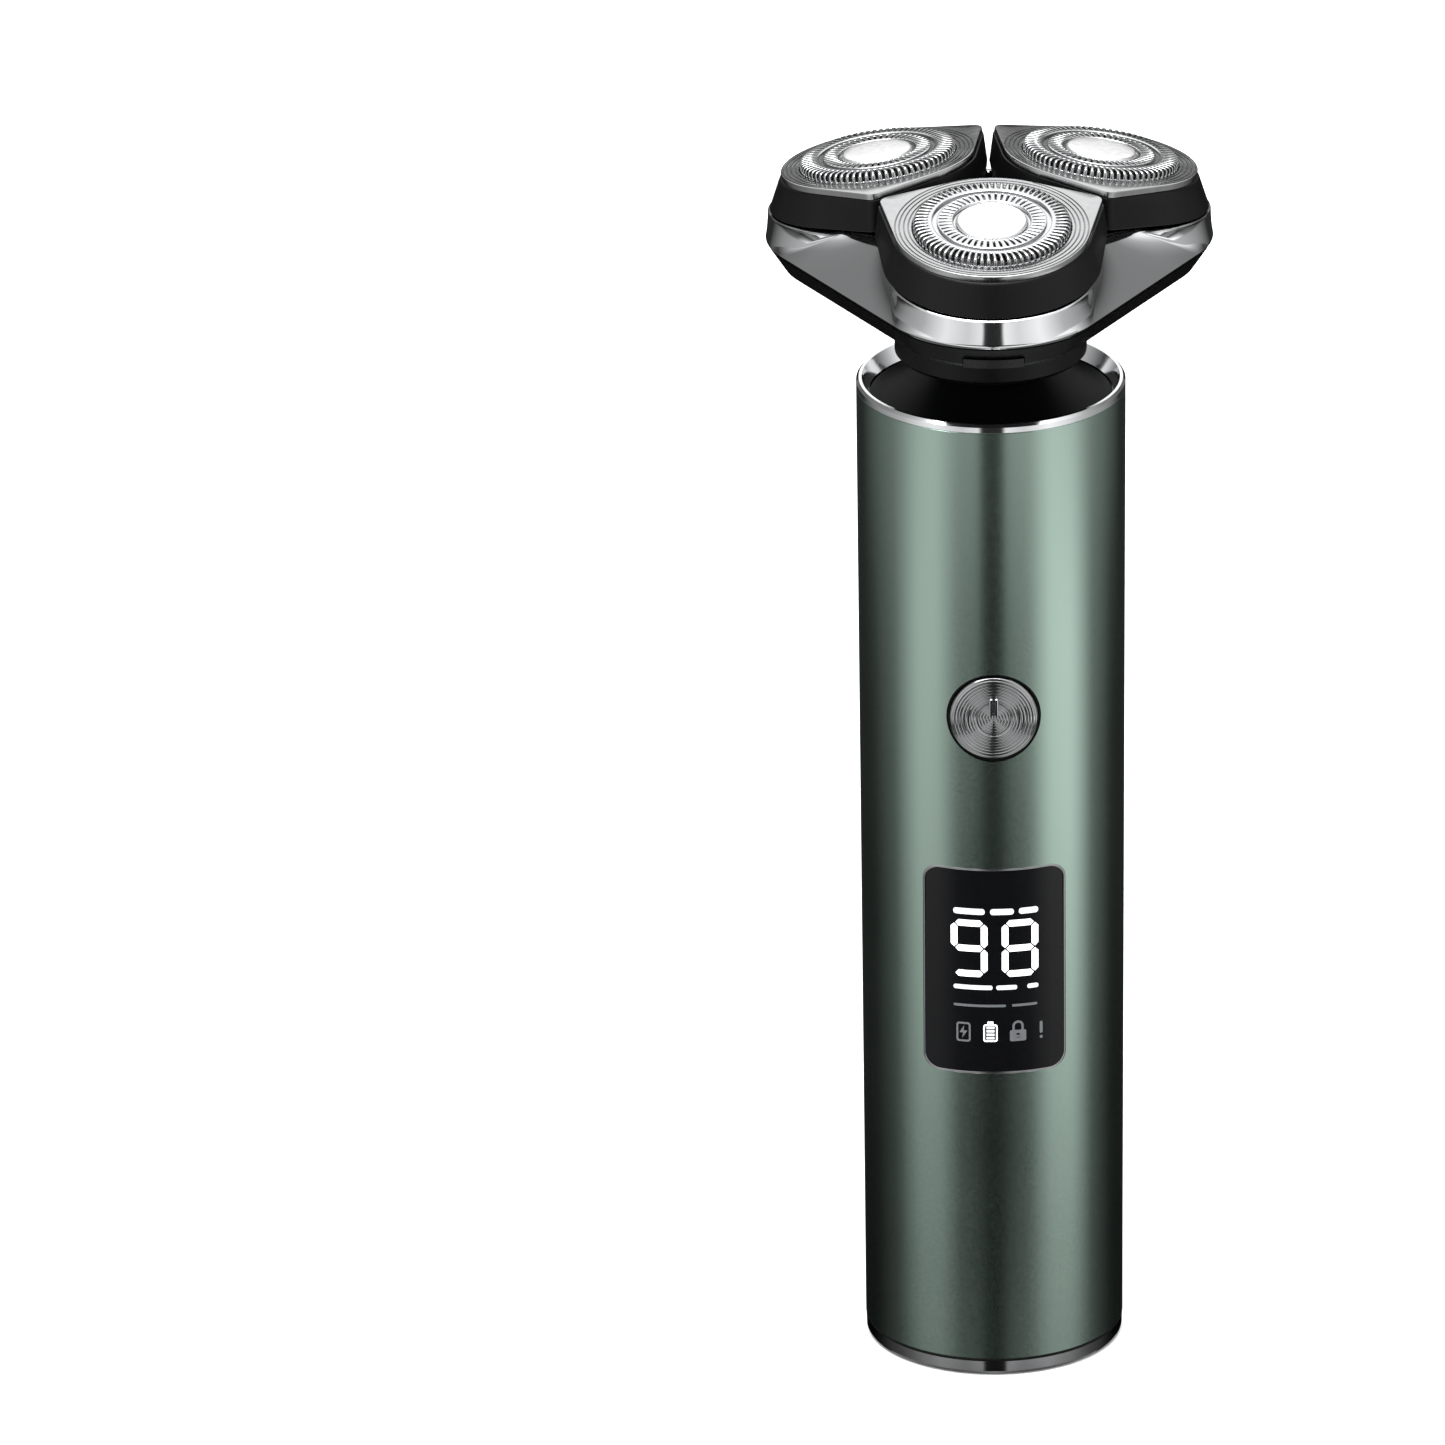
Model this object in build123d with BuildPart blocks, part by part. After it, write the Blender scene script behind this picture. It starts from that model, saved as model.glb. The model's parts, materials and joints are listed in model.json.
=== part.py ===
"""Rotary electric shaver: cylindrical handle, gimballed head, three shaving pods.

Millimetres, +Z up the handle, the button side faces -Y, and the origin is the
centre of the flat underside.
"""
import os
from math import acos, atan2, cos, degrees, hypot, radians, sin, sqrt

from build123d import *

os.makedirs("parts", exist_ok=True)

# ---- handle ----
tube_top_radius = 17.95
tube_foot_radius = 17.35
tube_bore_radius = 16.2
tube_foot_z = 2.4
tube_top_z = 136.9
collar_top_z = 138.0
collar_rim_radius = 17.2
collar_throat_radius = 16.3
collar_recess_radius = 16.9
collar_foot_z = 134.45
plinth_foot_z = 131.0
plinth_edge_z = 135.7

# ---- controls on the front ----
button_z = 96.0
button_radius = 5.9
button_well_radius = 6.3
button_travel = 0.6
button_face_y = -18.0
display_z = 59.3
display_width = 18.6
display_height = 29.4
display_corner = 2.0
board_y = -11.2
board_thickness = 1.2

# ---- power train in the handle ----
battery_radius = 9.1
battery_foot_z = 20.0
battery_length = 65.0
battery_y = 3.0
motor_radius = 9.8
motor_foot_z = 98.0
motor_top_z = 128.0
motor_screw_reach = 6.5
shaft_radius = 1.0

# ---- head pivot ----
pivot_z = 145.0
ball_radius = 9.4
gimbal_inner_radius = 9.7
gimbal_outer_radius = 10.5
socket_radius = 10.8
gimbal_half_height = 2.6
gimbal_pin_radius = 0.8

# ---- gear train in the head ----
gear_module = 0.75
sun_teeth = 14
planet_teeth = 30
gear_centre = gear_module * (sun_teeth + planet_teeth) / 2
deck_z = 152.8
gear_foot_z = 153.0
gear_width = 1.8
cover_foot_z = 155.1
cover_top_z = 155.9
spindle_radius = 1.2
spindle_tip_radius = 1.4
spindle_tip_z = 161.5
cover_screw_reach = 11.5

# ---- head shells ----
housing_foot_z = 150.5
seam_z = 154.1
frame_top_z = 158.3
pod_spread = 17.1
frame_radius = 15.0
frame_wall = 1.0
frame_waist = 16.5
frame_crest_z = 161.6  # height at which the wall would reach its three-leaved outline
rim_z = 159.93  # rim height under the middle of a pod; it falls outward with rim_lean
rim_lean = 6.5

# ---- pods ----
pod_lean = 9.0
plate_centre_z = 165.9
plate_radius = 13.1
plate_thickness = 0.8
pod_depth = 5.1
pod_flare = 1.45
foil_radius = 10.45
foil_height = 1.0
foil_sheet = 0.3
hinge_reach = 27.0
hinge_z = 159.8
hinge_pin_radius = 0.7

pod_angles = {"front": 270, "right": 30, "left": 150}
slip = 0.05


def keep(piece, name):
    """Label a finished piece and write its STEP file."""
    piece.part.label = name
    export_step(piece.part, f"parts/{name}.step")


def turned(points):
    """A closed outline of (radius, height) points, for turning about the long axis."""
    with BuildSketch(Plane.XZ) as outline:
        with BuildLine():
            Polyline(*points, close=True)
        make_face()
    return outline.sketch


def polar(distance, angle):
    return (distance * cos(radians(angle)), distance * sin(radians(angle)))


def rounded_hull(circles, plane):
    """The belt round circles (x, y, radius), listed counter-clockwise."""
    count = len(circles)
    normals = []
    for (x1, y1, r1), (x2, y2, r2) in zip(circles, circles[1:] + circles[:1]):
        heading = degrees(atan2(y2 - y1, x2 - x1))
        lean = degrees(acos((r1 - r2) / hypot(x2 - x1, y2 - y1)))
        normals.append(heading - lean)
    with BuildSketch(plane) as belt:
        with BuildLine():
            for i, (x, y, r) in enumerate(circles):
                start, end = normals[i - 1], normals[i]
                arc = CenterArc((x, y), r, start, (end - start) % 360)
                x2, y2, r2 = circles[(i + 1) % count]
                reach_x, reach_y = polar(r2, end)
                Line(arc @ 1, (x2 + reach_x, y2 + reach_y))
        make_face()
    return belt.sketch


def lobed_hull(spread, radius, z):
    """Rounded triangle: a belt round the three pod lobes at height z."""
    lobes = [(*polar(spread, angle), radius) for angle in (30, 150, 270)]
    return rounded_hull(lobes, Plane.XY.offset(z))


def clover(spread, radius, waist, z):
    """Three lobes joined by hollow curves that come in to the waist distance."""
    half_gap = spread * sin(radians(60))
    inset = waist - spread * cos(radians(60))
    hollow = (half_gap**2 + inset**2 - radius**2) / (2 * (radius - inset))
    reach = 60 + degrees(atan2(half_gap, inset + hollow))
    with BuildSketch(Plane.XY.offset(z)) as leaf:
        with BuildLine():
            for angle in (30, 150, 270):
                CenterArc(polar(spread, angle), radius, angle - reach, 2 * reach)
                CenterArc(polar(waist + hollow, angle + 60), hollow,
                          angle + reach + 180, 120 - 2 * reach)
        make_face()
    return leaf.sketch


def gear_outline(teeth, phase, z):
    """Spur gear outline with slim teeth, so that a pair runs with backlash."""
    pitch_radius = gear_module * teeth / 2
    levels = ((-0.95, 0.66), (0.0, 0.49), (0.68, 0.22))
    points = []
    for tooth in range(teeth):
        middle = phase + tooth * 360 / teeth
        rising = [(pitch_radius + rise, -half) for rise, half in levels]
        falling = [(pitch_radius + rise, half) for rise, half in reversed(levels)]
        for radius, half in rising + falling:
            points.append(polar(radius, middle + degrees(half / radius)))
    with BuildSketch(Plane.XY.offset(z)) as outline:
        with BuildLine():
            Polyline(*points, close=True)
        make_face()
    return outline.sketch


def front_plane(y):
    """Plane square to the front, facing the user: local x along +X, local y up."""
    return Plane(origin=(0, y, 0), x_dir=(1, 0, 0), z_dir=(0, -1, 0))


def tube_radius_at(z):
    rise = (z - tube_foot_z) / (tube_top_z - tube_foot_z)
    return tube_foot_radius + rise * (tube_top_radius - tube_foot_radius)


# ================= handle shells =================

with BuildPart() as body_tube:
    revolve(turned([
        (tube_bore_radius, tube_foot_z), (tube_foot_radius, tube_foot_z),
        (tube_top_radius, tube_top_z), (collar_recess_radius, tube_top_z),
        (collar_recess_radius, collar_foot_z), (tube_bore_radius, collar_foot_z),
    ]), axis=Axis.Z)
    with BuildSketch(front_plane(0)):
        with Locations((0, display_z)):
            RectangleRounded(display_width, display_height, display_corner)
        with Locations((0, button_z)):
            Circle(button_well_radius)
    extrude(amount=20, mode=Mode.SUBTRACT)
keep(body_tube, "body_tube")

with BuildPart() as top_collar:
    revolve(turned([
        (collar_throat_radius, collar_foot_z), (collar_recess_radius - slip, collar_foot_z),
        (collar_recess_radius - slip, tube_top_z + 0.02), (tube_top_radius, tube_top_z + 0.02),
        (tube_top_radius, collar_top_z - 0.35), (tube_top_radius - 0.35, collar_top_z),
        (collar_rim_radius, collar_top_z), (collar_throat_radius, plinth_edge_z + 0.2),
    ]), axis=Axis.Z)
keep(top_collar, "top_collar")

# The plinth sweeps up in a hollow curve to a short neck that carries the ball.
neck_radius = 7.0
plinth_radius = collar_throat_radius - 0.15
neck_meets_ball_z = pivot_z - sqrt(ball_radius**2 - neck_radius**2)
ball_top_z = pivot_z + 5.0
ball_top_radius = sqrt(ball_radius**2 - (ball_top_z - pivot_z) ** 2)
shaft_bore_radius = 2.8
with BuildPart() as neck_plinth:
    with BuildSketch(Plane.XZ):
        with BuildLine():
            Polyline((shaft_bore_radius, plinth_foot_z), (plinth_radius, plinth_foot_z),
                     (plinth_radius, plinth_foot_z + 1.6), (plinth_radius - 1.1, plinth_foot_z + 1.6),
                     (plinth_radius - 1.1, plinth_foot_z + 2.8), (plinth_radius, plinth_foot_z + 2.8),
                     (plinth_radius, plinth_edge_z))
            ThreePointArc((plinth_radius, plinth_edge_z), (neck_radius + 3.2, plinth_edge_z + 1.0),
                          (neck_radius, neck_meets_ball_z))
            ThreePointArc((neck_radius, neck_meets_ball_z), (ball_radius, pivot_z),
                          (ball_top_radius, ball_top_z))
            Polyline((ball_top_radius, ball_top_z), (4.8, ball_top_z), (3.3, pivot_z - 3.0),
                     (shaft_bore_radius, pivot_z - 4.0), (shaft_bore_radius, plinth_foot_z))
        make_face()
    revolve(axis=Axis.Z)
    # bores for the two inner gimbal pins
    with BuildSketch(Plane.YZ):
        with Locations((0, pivot_z)):
            Circle(gimbal_pin_radius + slip)
    extrude(amount=ball_radius + 1, both=True, mode=Mode.SUBTRACT)
keep(neck_plinth, "neck_plinth")

with BuildPart() as collar_seal:
    revolve(turned([
        (plinth_radius - 1.08, plinth_foot_z + 1.65), (plinth_radius, plinth_foot_z + 1.65),
        (plinth_radius, plinth_foot_z + 2.75), (plinth_radius - 1.08, plinth_foot_z + 2.75),
    ]), axis=Axis.Z)
keep(collar_seal, "collar_seal")

# ================= foot of the handle =================

foot_lip_radius = 16.7
port_y = 6.0
port_width = 9.3
port_depth = 3.5
foot_screw_x = 12.0
with BuildPart() as base_cap:
    revolve(turned([
        (0, 0), (foot_lip_radius - 0.2, 0), (foot_lip_radius, 0.2), (foot_lip_radius, 0.24),
        (tube_bore_radius - slip, 0.24), (tube_bore_radius - slip, 7.0), (14.6, 7.0),
        (14.6, 2.3), (0, 2.3),
    ]), axis=Axis.Z)
    with BuildSketch(Plane.XY):
        with Locations((0, port_y)):
            RectangleRounded(port_width, port_depth, port_depth / 2 - 0.01)
        with Locations((foot_screw_x, 0), (-foot_screw_x, 0)):
            Circle(0.95)
    extrude(amount=2.4, mode=Mode.SUBTRACT)
    with BuildSketch(Plane.XY):
        with Locations((foot_screw_x, 0), (-foot_screw_x, 0)):
            Circle(1.85)
    extrude(amount=1.0, mode=Mode.SUBTRACT)
keep(base_cap, "base_cap")

with BuildPart() as base_ring:
    revolve(turned([
        (tube_bore_radius + 0.02, 0.26), (17.0, 0.26), (17.25, 0.6), (17.3, 2.08),
        (tube_bore_radius + 0.02, 2.08),
    ]), axis=Axis.Z)
keep(base_ring, "base_ring")

with BuildPart() as base_seal:
    revolve(turned([
        (tube_bore_radius + 0.02, 2.1), (17.05, 2.1), (17.05, 2.38), (tube_bore_radius + 0.02, 2.38),
    ]), axis=Axis.Z)
keep(base_seal, "base_seal")

with BuildPart() as base_screws:
    with BuildSketch(Plane.XY.offset(0.25)):
        with Locations((foot_screw_x, 0), (-foot_screw_x, 0)):
            Circle(1.75)
            Circle(0.45, mode=Mode.SUBTRACT)
    extrude(amount=0.73)
    with BuildSketch(Plane.XY.offset(0.7)):
        with Locations((foot_screw_x, 0), (-foot_screw_x, 0)):
            Circle(0.9)
    extrude(amount=11.0)
keep(base_screws, "base_screws")

with BuildPart() as charging_socket:
    with BuildSketch(Plane.XY.offset(0.3)):
        with Locations((0, port_y)):
            RectangleRounded(8.94, 3.26, 1.6)
    extrude(amount=7.4)
    with BuildSketch(Plane.XY.offset(0.3)):
        with Locations((0, port_y)):
            RectangleRounded(8.34, 2.66, 1.3)
    extrude(amount=6.6, mode=Mode.SUBTRACT)
keep(charging_socket, "charging_socket")

with BuildPart() as socket_tongue:
    with BuildSketch(Plane.XY.offset(1.0)):
        with Locations((0, port_y)):
            RectangleRounded(6.6, 0.7, 0.3)
    extrude(amount=5.9)
keep(socket_tongue, "socket_tongue")

# ================= chassis, battery, board =================

chassis_radius = tube_bore_radius - 0.2
chassis_foot_z = 9.0
bulkheads = ((chassis_foot_z, 4.0), (86.6, 2.4), (motor_top_z + 0.1, 2.7))
with BuildPart() as inner_chassis:
    with BuildSketch(Plane.XY.offset(chassis_foot_z)):
        Circle(chassis_radius)
        Circle(chassis_radius - 1.2, mode=Mode.SUBTRACT)
        with Locations((0, -chassis_radius)):
            Rectangle(3 * chassis_radius, 2 * chassis_radius - 6, mode=Mode.SUBTRACT)
    extrude(amount=plinth_foot_z - 0.2 - chassis_foot_z)
    for foot_z, thickness in bulkheads:
        with BuildSketch(Plane.XY.offset(foot_z)):
            Circle(chassis_radius - 0.4)
            with Locations((0, -chassis_radius)):
                Rectangle(3 * chassis_radius, 2 * (chassis_radius + board_y + board_thickness),
                          mode=Mode.SUBTRACT)
        extrude(amount=thickness)
    # pilot holes for the foot screws, and the seat of the motor shaft and its screws
    with BuildSketch(Plane.XY.offset(chassis_foot_z)):
        with Locations((foot_screw_x, 0), (-foot_screw_x, 0)):
            Circle(0.92)
    extrude(amount=3.2, mode=Mode.SUBTRACT)
    with BuildSketch(Plane.XY.offset(motor_top_z)):
        Circle(3.4)
        with Locations((motor_screw_reach, 0), (-motor_screw_reach, 0)):
            Circle(0.85)
    extrude(amount=4, mode=Mode.SUBTRACT)
    with BuildSketch(Plane.XY.offset(motor_top_z + 1.6)):
        with Locations((motor_screw_reach, 0), (-motor_screw_reach, 0)):
            Circle(1.7)
    extrude(amount=2, mode=Mode.SUBTRACT)
keep(inner_chassis, "inner_chassis")

with BuildPart() as battery_cell:
    with BuildSketch(Plane.XY.offset(battery_foot_z)):
        with Locations((0, battery_y)):
            Circle(battery_radius)
    extrude(amount=battery_length - 0.9)
    fillet(battery_cell.edges().filter_by(GeomType.CIRCLE), 0.5)
    with BuildSketch(Plane.XY.offset(battery_foot_z + battery_length - 0.9)):
        with Locations((0, battery_y)):
            Circle(2.8)
    extrude(amount=0.9)
keep(battery_cell, "battery_cell")

board_foot_z = 38.0
board_top_z = 114.0
with BuildPart() as circuit_board:
    with BuildSketch(front_plane(board_y + board_thickness / 2)):
        with Locations((0, (board_foot_z + board_top_z) / 2)):
            RectangleRounded(20, board_top_z - board_foot_z, 1.0)
    extrude(amount=board_thickness)
keep(circuit_board, "circuit_board")

# controller, charger, coil and connector on the front of the board
board_face_y = board_y - board_thickness / 2
components = ((0, 82, 7, 7, 1.0), (-6, 108, 5, 4, 1.3), (6, 108, 4, 4, 2.0), (6.5, 84, 3, 6, 1.1),
              (-6.5, 84, 3, 6, 1.1), (0, 41.5, 8, 3.4, 1.6))
with BuildPart() as board_parts:
    for x, z, width, height, depth in components:
        with BuildSketch(front_plane(board_face_y)):
            with Locations((x, z)):
                RectangleRounded(width, height, 0.3)
        extrude(amount=depth)
keep(board_parts, "board_parts")

# ================= display and button =================

lens_radius = tube_radius_at(display_z) - 0.02
with BuildPart() as display_lens:
    with BuildSketch(front_plane(0)):
        with Locations((0, display_z)):
            RectangleRounded(display_width - 0.2, display_height - 0.2, display_corner - 0.1)
    extrude(amount=20)
    with BuildSketch(Plane.XY.offset(display_z - 20)):
        Circle(lens_radius)
        Circle(tube_bore_radius, mode=Mode.SUBTRACT)
    extrude(amount=40, mode=Mode.INTERSECT)
keep(display_lens, "display_lens")

panel_front_y = -13.7
with BuildPart() as display_panel:
    with BuildSketch(front_plane(board_face_y - 0.05)):
        with Locations((0, display_z)):
            RectangleRounded(16, 27, 0.6)
    extrude(amount=board_face_y - 0.05 - panel_front_y)
keep(display_panel, "display_panel")

with BuildPart() as display_gasket:
    with BuildSketch(front_plane(panel_front_y - 0.03)):
        with Locations((0, display_z)):
            RectangleRounded(15.6, 28.4, 1.0)
            RectangleRounded(13.2, 25.4, 0.8, mode=Mode.SUBTRACT)
    extrude(amount=5)
    with BuildSketch(Plane.XY.offset(display_z - 20)):
        Circle(tube_bore_radius - 0.03)
    extrude(amount=40, mode=Mode.INTERSECT)
keep(display_gasket, "display_gasket")

bezel_bore_radius = button_radius + 0.08
with BuildPart() as button_bezel:
    with BuildSketch(front_plane(-14.6)):
        with Locations((0, button_z)):
            Circle(button_well_radius - slip)
            Circle(bezel_bore_radius, mode=Mode.SUBTRACT)
    extrude(amount=4)
    with BuildSketch(Plane.XY.offset(button_z - 10)):
        Circle(tube_radius_at(button_z) - 0.25)
    extrude(amount=20, mode=Mode.INTERSECT)
keep(button_bezel, "button_bezel")

with BuildPart() as button_switch:
    with BuildSketch(front_plane(board_face_y)):
        with Locations((0, button_z)):
            RectangleRounded(6, 6, 0.4)
    extrude(amount=2.0)
    with BuildSketch(front_plane(board_face_y - 2.0)):
        with Locations((0, button_z)):
            Circle(1.5)
    extrude(amount=0.5)
keep(button_switch, "button_switch")

stem_end_y = board_face_y - 2.5 - button_travel - 0.05
with BuildPart() as power_button:
    with BuildSketch(front_plane(button_face_y + 3.0)):
        with Locations((0, button_z)):
            Circle(button_radius)
    extrude(amount=3.0)
    chamfer(power_button.faces().sort_by(Axis.Y)[0].edges(), 0.35)
    with BuildSketch(front_plane(stem_end_y)):
        with Locations((0, button_z)):
            Circle(1.8)
    extrude(amount=stem_end_y - button_face_y - 2.0)
keep(power_button, "power_button")

# ================= motor =================

with BuildPart() as motor_can:
    with BuildSketch(Plane.XY.offset(motor_foot_z)):
        Circle(motor_radius)
    extrude(amount=motor_top_z - motor_foot_z)
    fillet(motor_can.faces().sort_by(Axis.Z)[-1].edges(), 1.0)
    with BuildSketch(Plane.XY.offset(motor_foot_z)):
        Circle(motor_radius - 0.9)
    extrude(amount=motor_top_z - motor_foot_z - 1.6, mode=Mode.SUBTRACT)
    with BuildSketch(Plane.XY.offset(motor_foot_z)):
        Circle(shaft_radius + slip)
    extrude(amount=40, mode=Mode.SUBTRACT)
    with BuildSketch(Plane.XY.offset(motor_top_z - 1.6)):
        with Locations((motor_screw_reach, 0), (-motor_screw_reach, 0)):
            Circle(0.76)
    extrude(amount=2, mode=Mode.SUBTRACT)
keep(motor_can, "motor_can")

with BuildPart() as motor_end_bell:
    with BuildSketch(Plane.XY.offset(motor_foot_z - 2.0)):
        Circle(motor_radius - 0.3)
    extrude(amount=1.95)
    with BuildSketch(Plane.XY.offset(motor_foot_z - 2.0)):
        Circle(motor_radius - 1.0)
    extrude(amount=5.0)
    with BuildSketch(Plane.XY.offset(motor_foot_z - 2.0)):
        Circle(motor_radius - 2.2)
    with BuildSketch(Plane.XY.offset(motor_foot_z - 3.0)):
        Circle(shaft_radius + slip)
    extrude(amount=10.0, mode=Mode.SUBTRACT)
keep(motor_end_bell, "motor_end_bell")

with BuildPart() as motor_screws:
    for x in (motor_screw_reach, -motor_screw_reach):
        with BuildSketch(Plane.XY.offset(motor_top_z - 1.5)):
            with Locations((x, 0)):
                Circle(0.75)
        extrude(amount=3.2)
        with BuildSketch(Plane.XY.offset(motor_top_z + 1.65)):
            with Locations((x, 0)):
                Circle(1.6)
                RegularPolygon(0.6, 6, mode=Mode.SUBTRACT)
        extrude(amount=1.0)
keep(motor_screws, "motor_screws")

with BuildPart() as motor_rotor:
    with BuildSketch(Plane.XY.offset(motor_foot_z - 4.0)):
        Circle(shaft_radius)
    extrude(amount=plinth_foot_z + 3.2 - motor_foot_z + 4.0)
    with BuildSketch(Plane.XY.offset(motor_foot_z + 6.0)):
        Circle(6.6)
        with PolarLocations(5.6, 5):
            Rectangle(2.4, 0.9, mode=Mode.SUBTRACT)
    extrude(amount=17.0)
    with BuildSketch(Plane.XY.offset(motor_foot_z + 3.4)):
        Circle(2.6)
    extrude(amount=2.6)
keep(motor_rotor, "motor_rotor")

with BuildPart() as drive_coupling:
    with BuildSketch(Plane.XZ):
        with BuildLine():
            Polyline((1.2, pivot_z - 0.9), (1.2, plinth_foot_z + 6.4), (2.0, plinth_foot_z + 5.6),
                     (2.0, plinth_foot_z + 0.4), (shaft_radius, plinth_foot_z + 0.4),
                     (shaft_radius, plinth_foot_z + 3.2), (0, plinth_foot_z + 3.2),
                     (0, pivot_z + 1.5))
            ThreePointArc((0, pivot_z + 1.5), (1.5, pivot_z), (1.2, pivot_z - 0.9))
        make_face()
    revolve(axis=Axis.Z)
keep(drive_coupling, "drive_coupling")

# ================= gimbal =================

with BuildPart() as gimbal_ring:
    with BuildSketch(Plane.XY.offset(pivot_z - gimbal_half_height)):
        Circle(gimbal_outer_radius + 1)
    extrude(amount=2 * gimbal_half_height)
    with Locations((0, 0, pivot_z)):
        Sphere(gimbal_outer_radius, mode=Mode.INTERSECT)
        Sphere(gimbal_inner_radius, mode=Mode.SUBTRACT)
    for side in (Plane.XZ, Plane.YZ):
        with BuildSketch(side):
            with Locations((0, pivot_z)):
                Circle(gimbal_pin_radius)
        extrude(amount=gimbal_outer_radius + 1, both=True, mode=Mode.SUBTRACT)
keep(gimbal_ring, "gimbal_ring")

# inner pins reach into the ball along X, outer pins into the head socket along Y
inner_pin = (ball_radius - 1.3, gimbal_outer_radius - 0.05)
outer_pin = (gimbal_inner_radius + 0.05, socket_radius + 1.4)
with BuildPart() as gimbal_pins:
    for direction, (start, end) in (((1, 0, 0), inner_pin), ((-1, 0, 0), inner_pin),
                                    ((0, 1, 0), outer_pin), ((0, -1, 0), outer_pin)):
        root = Vector(*direction) * start + Vector(0, 0, pivot_z)
        with BuildSketch(Plane(origin=root, z_dir=direction)):
            Circle(gimbal_pin_radius - 0.01)
        extrude(amount=end - start)
keep(gimbal_pins, "gimbal_pins")

# ================= head base: housing, gears, cover =================

socket_wall_radius = 12.8
housing_top_z = seam_z - 0.05
deck_thickness = 1.0
well_radius = 12.15
well_wall_radius = 12.85
well_waist = 13.4
shoulder_z = housing_foot_z + 0.7
with BuildPart() as head_base:
    loft([lobed_hull(16.3, 12.3, housing_foot_z).face(), lobed_hull(16.5, 13.1, shoulder_z).face()])
    loft([lobed_hull(16.5, 13.1, shoulder_z).face(),
          lobed_hull(pod_spread, frame_radius - 0.45, housing_top_z).face()])
    # raised wall round the gear well, standing inside the chrome frame
    extrude(clover(gear_centre, well_wall_radius, well_waist, housing_top_z),
            amount=cover_foot_z - 0.02 - housing_top_z)
    # hollow cone of the socket that closes round the ball
    with BuildSketch(Plane.XZ):
        with BuildLine():
            Polyline((5, housing_foot_z + 0.3), (5, pivot_z - 3.5), (socket_wall_radius - 0.6, pivot_z - 3.5),
                     (socket_wall_radius, pivot_z - 2.9), (socket_wall_radius, pivot_z + 1.6))
            ThreePointArc((socket_wall_radius, pivot_z + 1.6), (15.9, 149.5), (20.0, housing_foot_z + 0.3))
            Line((20.0, housing_foot_z + 0.3), (5, housing_foot_z + 0.3))
        make_face()
    revolve(axis=Axis.Z)
    # gear well
    with BuildSketch(Plane.XY.offset(deck_z)):
        Circle(8.5)
        with PolarLocations(gear_centre, 3, start_angle=30):
            Circle(well_radius)
    extrude(amount=10, mode=Mode.SUBTRACT)
    # ball cavity, closed above by the flat deck
    with BuildPart(mode=Mode.PRIVATE) as cavity:
        Sphere(socket_radius)
        with BuildSketch(Plane.XY.offset(deck_z - deck_thickness - pivot_z)):
            Circle(20)
        extrude(amount=10, mode=Mode.SUBTRACT)
    with Locations((0, 0, pivot_z)):
        add(cavity.part, mode=Mode.SUBTRACT)
    # bearings of the sun shaft and of the three spindles
    with BuildSketch(Plane.XY.offset(deck_z - 2)):
        Circle(2.5 + slip)
    extrude(amount=3, mode=Mode.SUBTRACT)
    with BuildSketch(Plane.XY.offset(deck_z - 1.3)):
        with PolarLocations(gear_centre, 3, start_angle=30):
            Circle(spindle_radius + slip)
    extrude(amount=3, mode=Mode.SUBTRACT)
    # holes of the outer gimbal pins, pilot holes of the cover screws
    with BuildSketch(Plane.XZ):
        with Locations((0, pivot_z)):
            Circle(gimbal_pin_radius + slip)
    extrude(amount=socket_wall_radius + 1, both=True, mode=Mode.SUBTRACT)
    with BuildSketch(Plane.XY.offset(cover_foot_z - 3.4)):
        with PolarLocations(cover_screw_reach, 3, start_angle=90):
            Circle(0.77)
    extrude(amount=4, mode=Mode.SUBTRACT)
    # pocket of the release button and its spring
    with BuildSketch(Plane.XY.offset(150.85)):
        with Locations((0, -30.0)):
            Rectangle(8.2, 5.6)
        with Locations((0, -26.4)):
            Rectangle(5.2, 2.4)
    extrude(amount=1.6, mode=Mode.SUBTRACT)
keep(head_base, "head_base")

with BuildPart() as release_button:
    loft([lobed_hull(16.62, 13.1, 150.3).face(),
          lobed_hull(pod_spread + 0.12, frame_radius - 0.45, 154.0).face()])
    with BuildSketch(Plane.XY.offset(150.9)):
        with Locations((0, -30.2)):
            Rectangle(8.0, 4.0)
    extrude(amount=1.5, mode=Mode.INTERSECT)
keep(release_button, "release_button")

# bowed leaf behind the release button
with BuildPart() as latch_spring:
    with BuildSketch(Plane.XY.offset(151.1)):
        with BuildLine():
            ThreePointArc((-2.3, -25.5), (0, -26.9), (2.3, -25.5))
        trace(line_width=0.3)
    extrude(amount=1.1)
keep(latch_spring, "latch_spring")

with BuildPart() as gear_cover:
    extrude(clover(gear_centre, well_wall_radius - 0.2, well_waist, cover_foot_z),
            amount=cover_top_z - cover_foot_z)
    with BuildSketch(Plane.XY.offset(cover_foot_z)):
        with PolarLocations(gear_centre, 3, start_angle=30):
            Circle(spindle_radius + slip)
        with PolarLocations(cover_screw_reach, 3, start_angle=90):
            Circle(0.77)
    extrude(amount=2, mode=Mode.SUBTRACT)
    with BuildSketch(Plane.XY.offset(cover_foot_z + 0.25)):
        with PolarLocations(cover_screw_reach, 3, start_angle=90):
            Circle(1.6)
    extrude(amount=2, mode=Mode.SUBTRACT)
keep(gear_cover, "gear_cover")

with BuildPart() as head_screws:
    with BuildSketch(Plane.XY.offset(cover_foot_z - 3.2)):
        with PolarLocations(cover_screw_reach, 3, start_angle=90):
            Circle(0.75)
    extrude(amount=3.5)
    with BuildSketch(Plane.XY.offset(cover_foot_z + 0.27)):
        with PolarLocations(cover_screw_reach, 3, start_angle=90):
            Circle(1.5)
            RegularPolygon(0.5, 6, mode=Mode.SUBTRACT)
    extrude(amount=0.5)
keep(head_screws, "head_screws")

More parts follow.
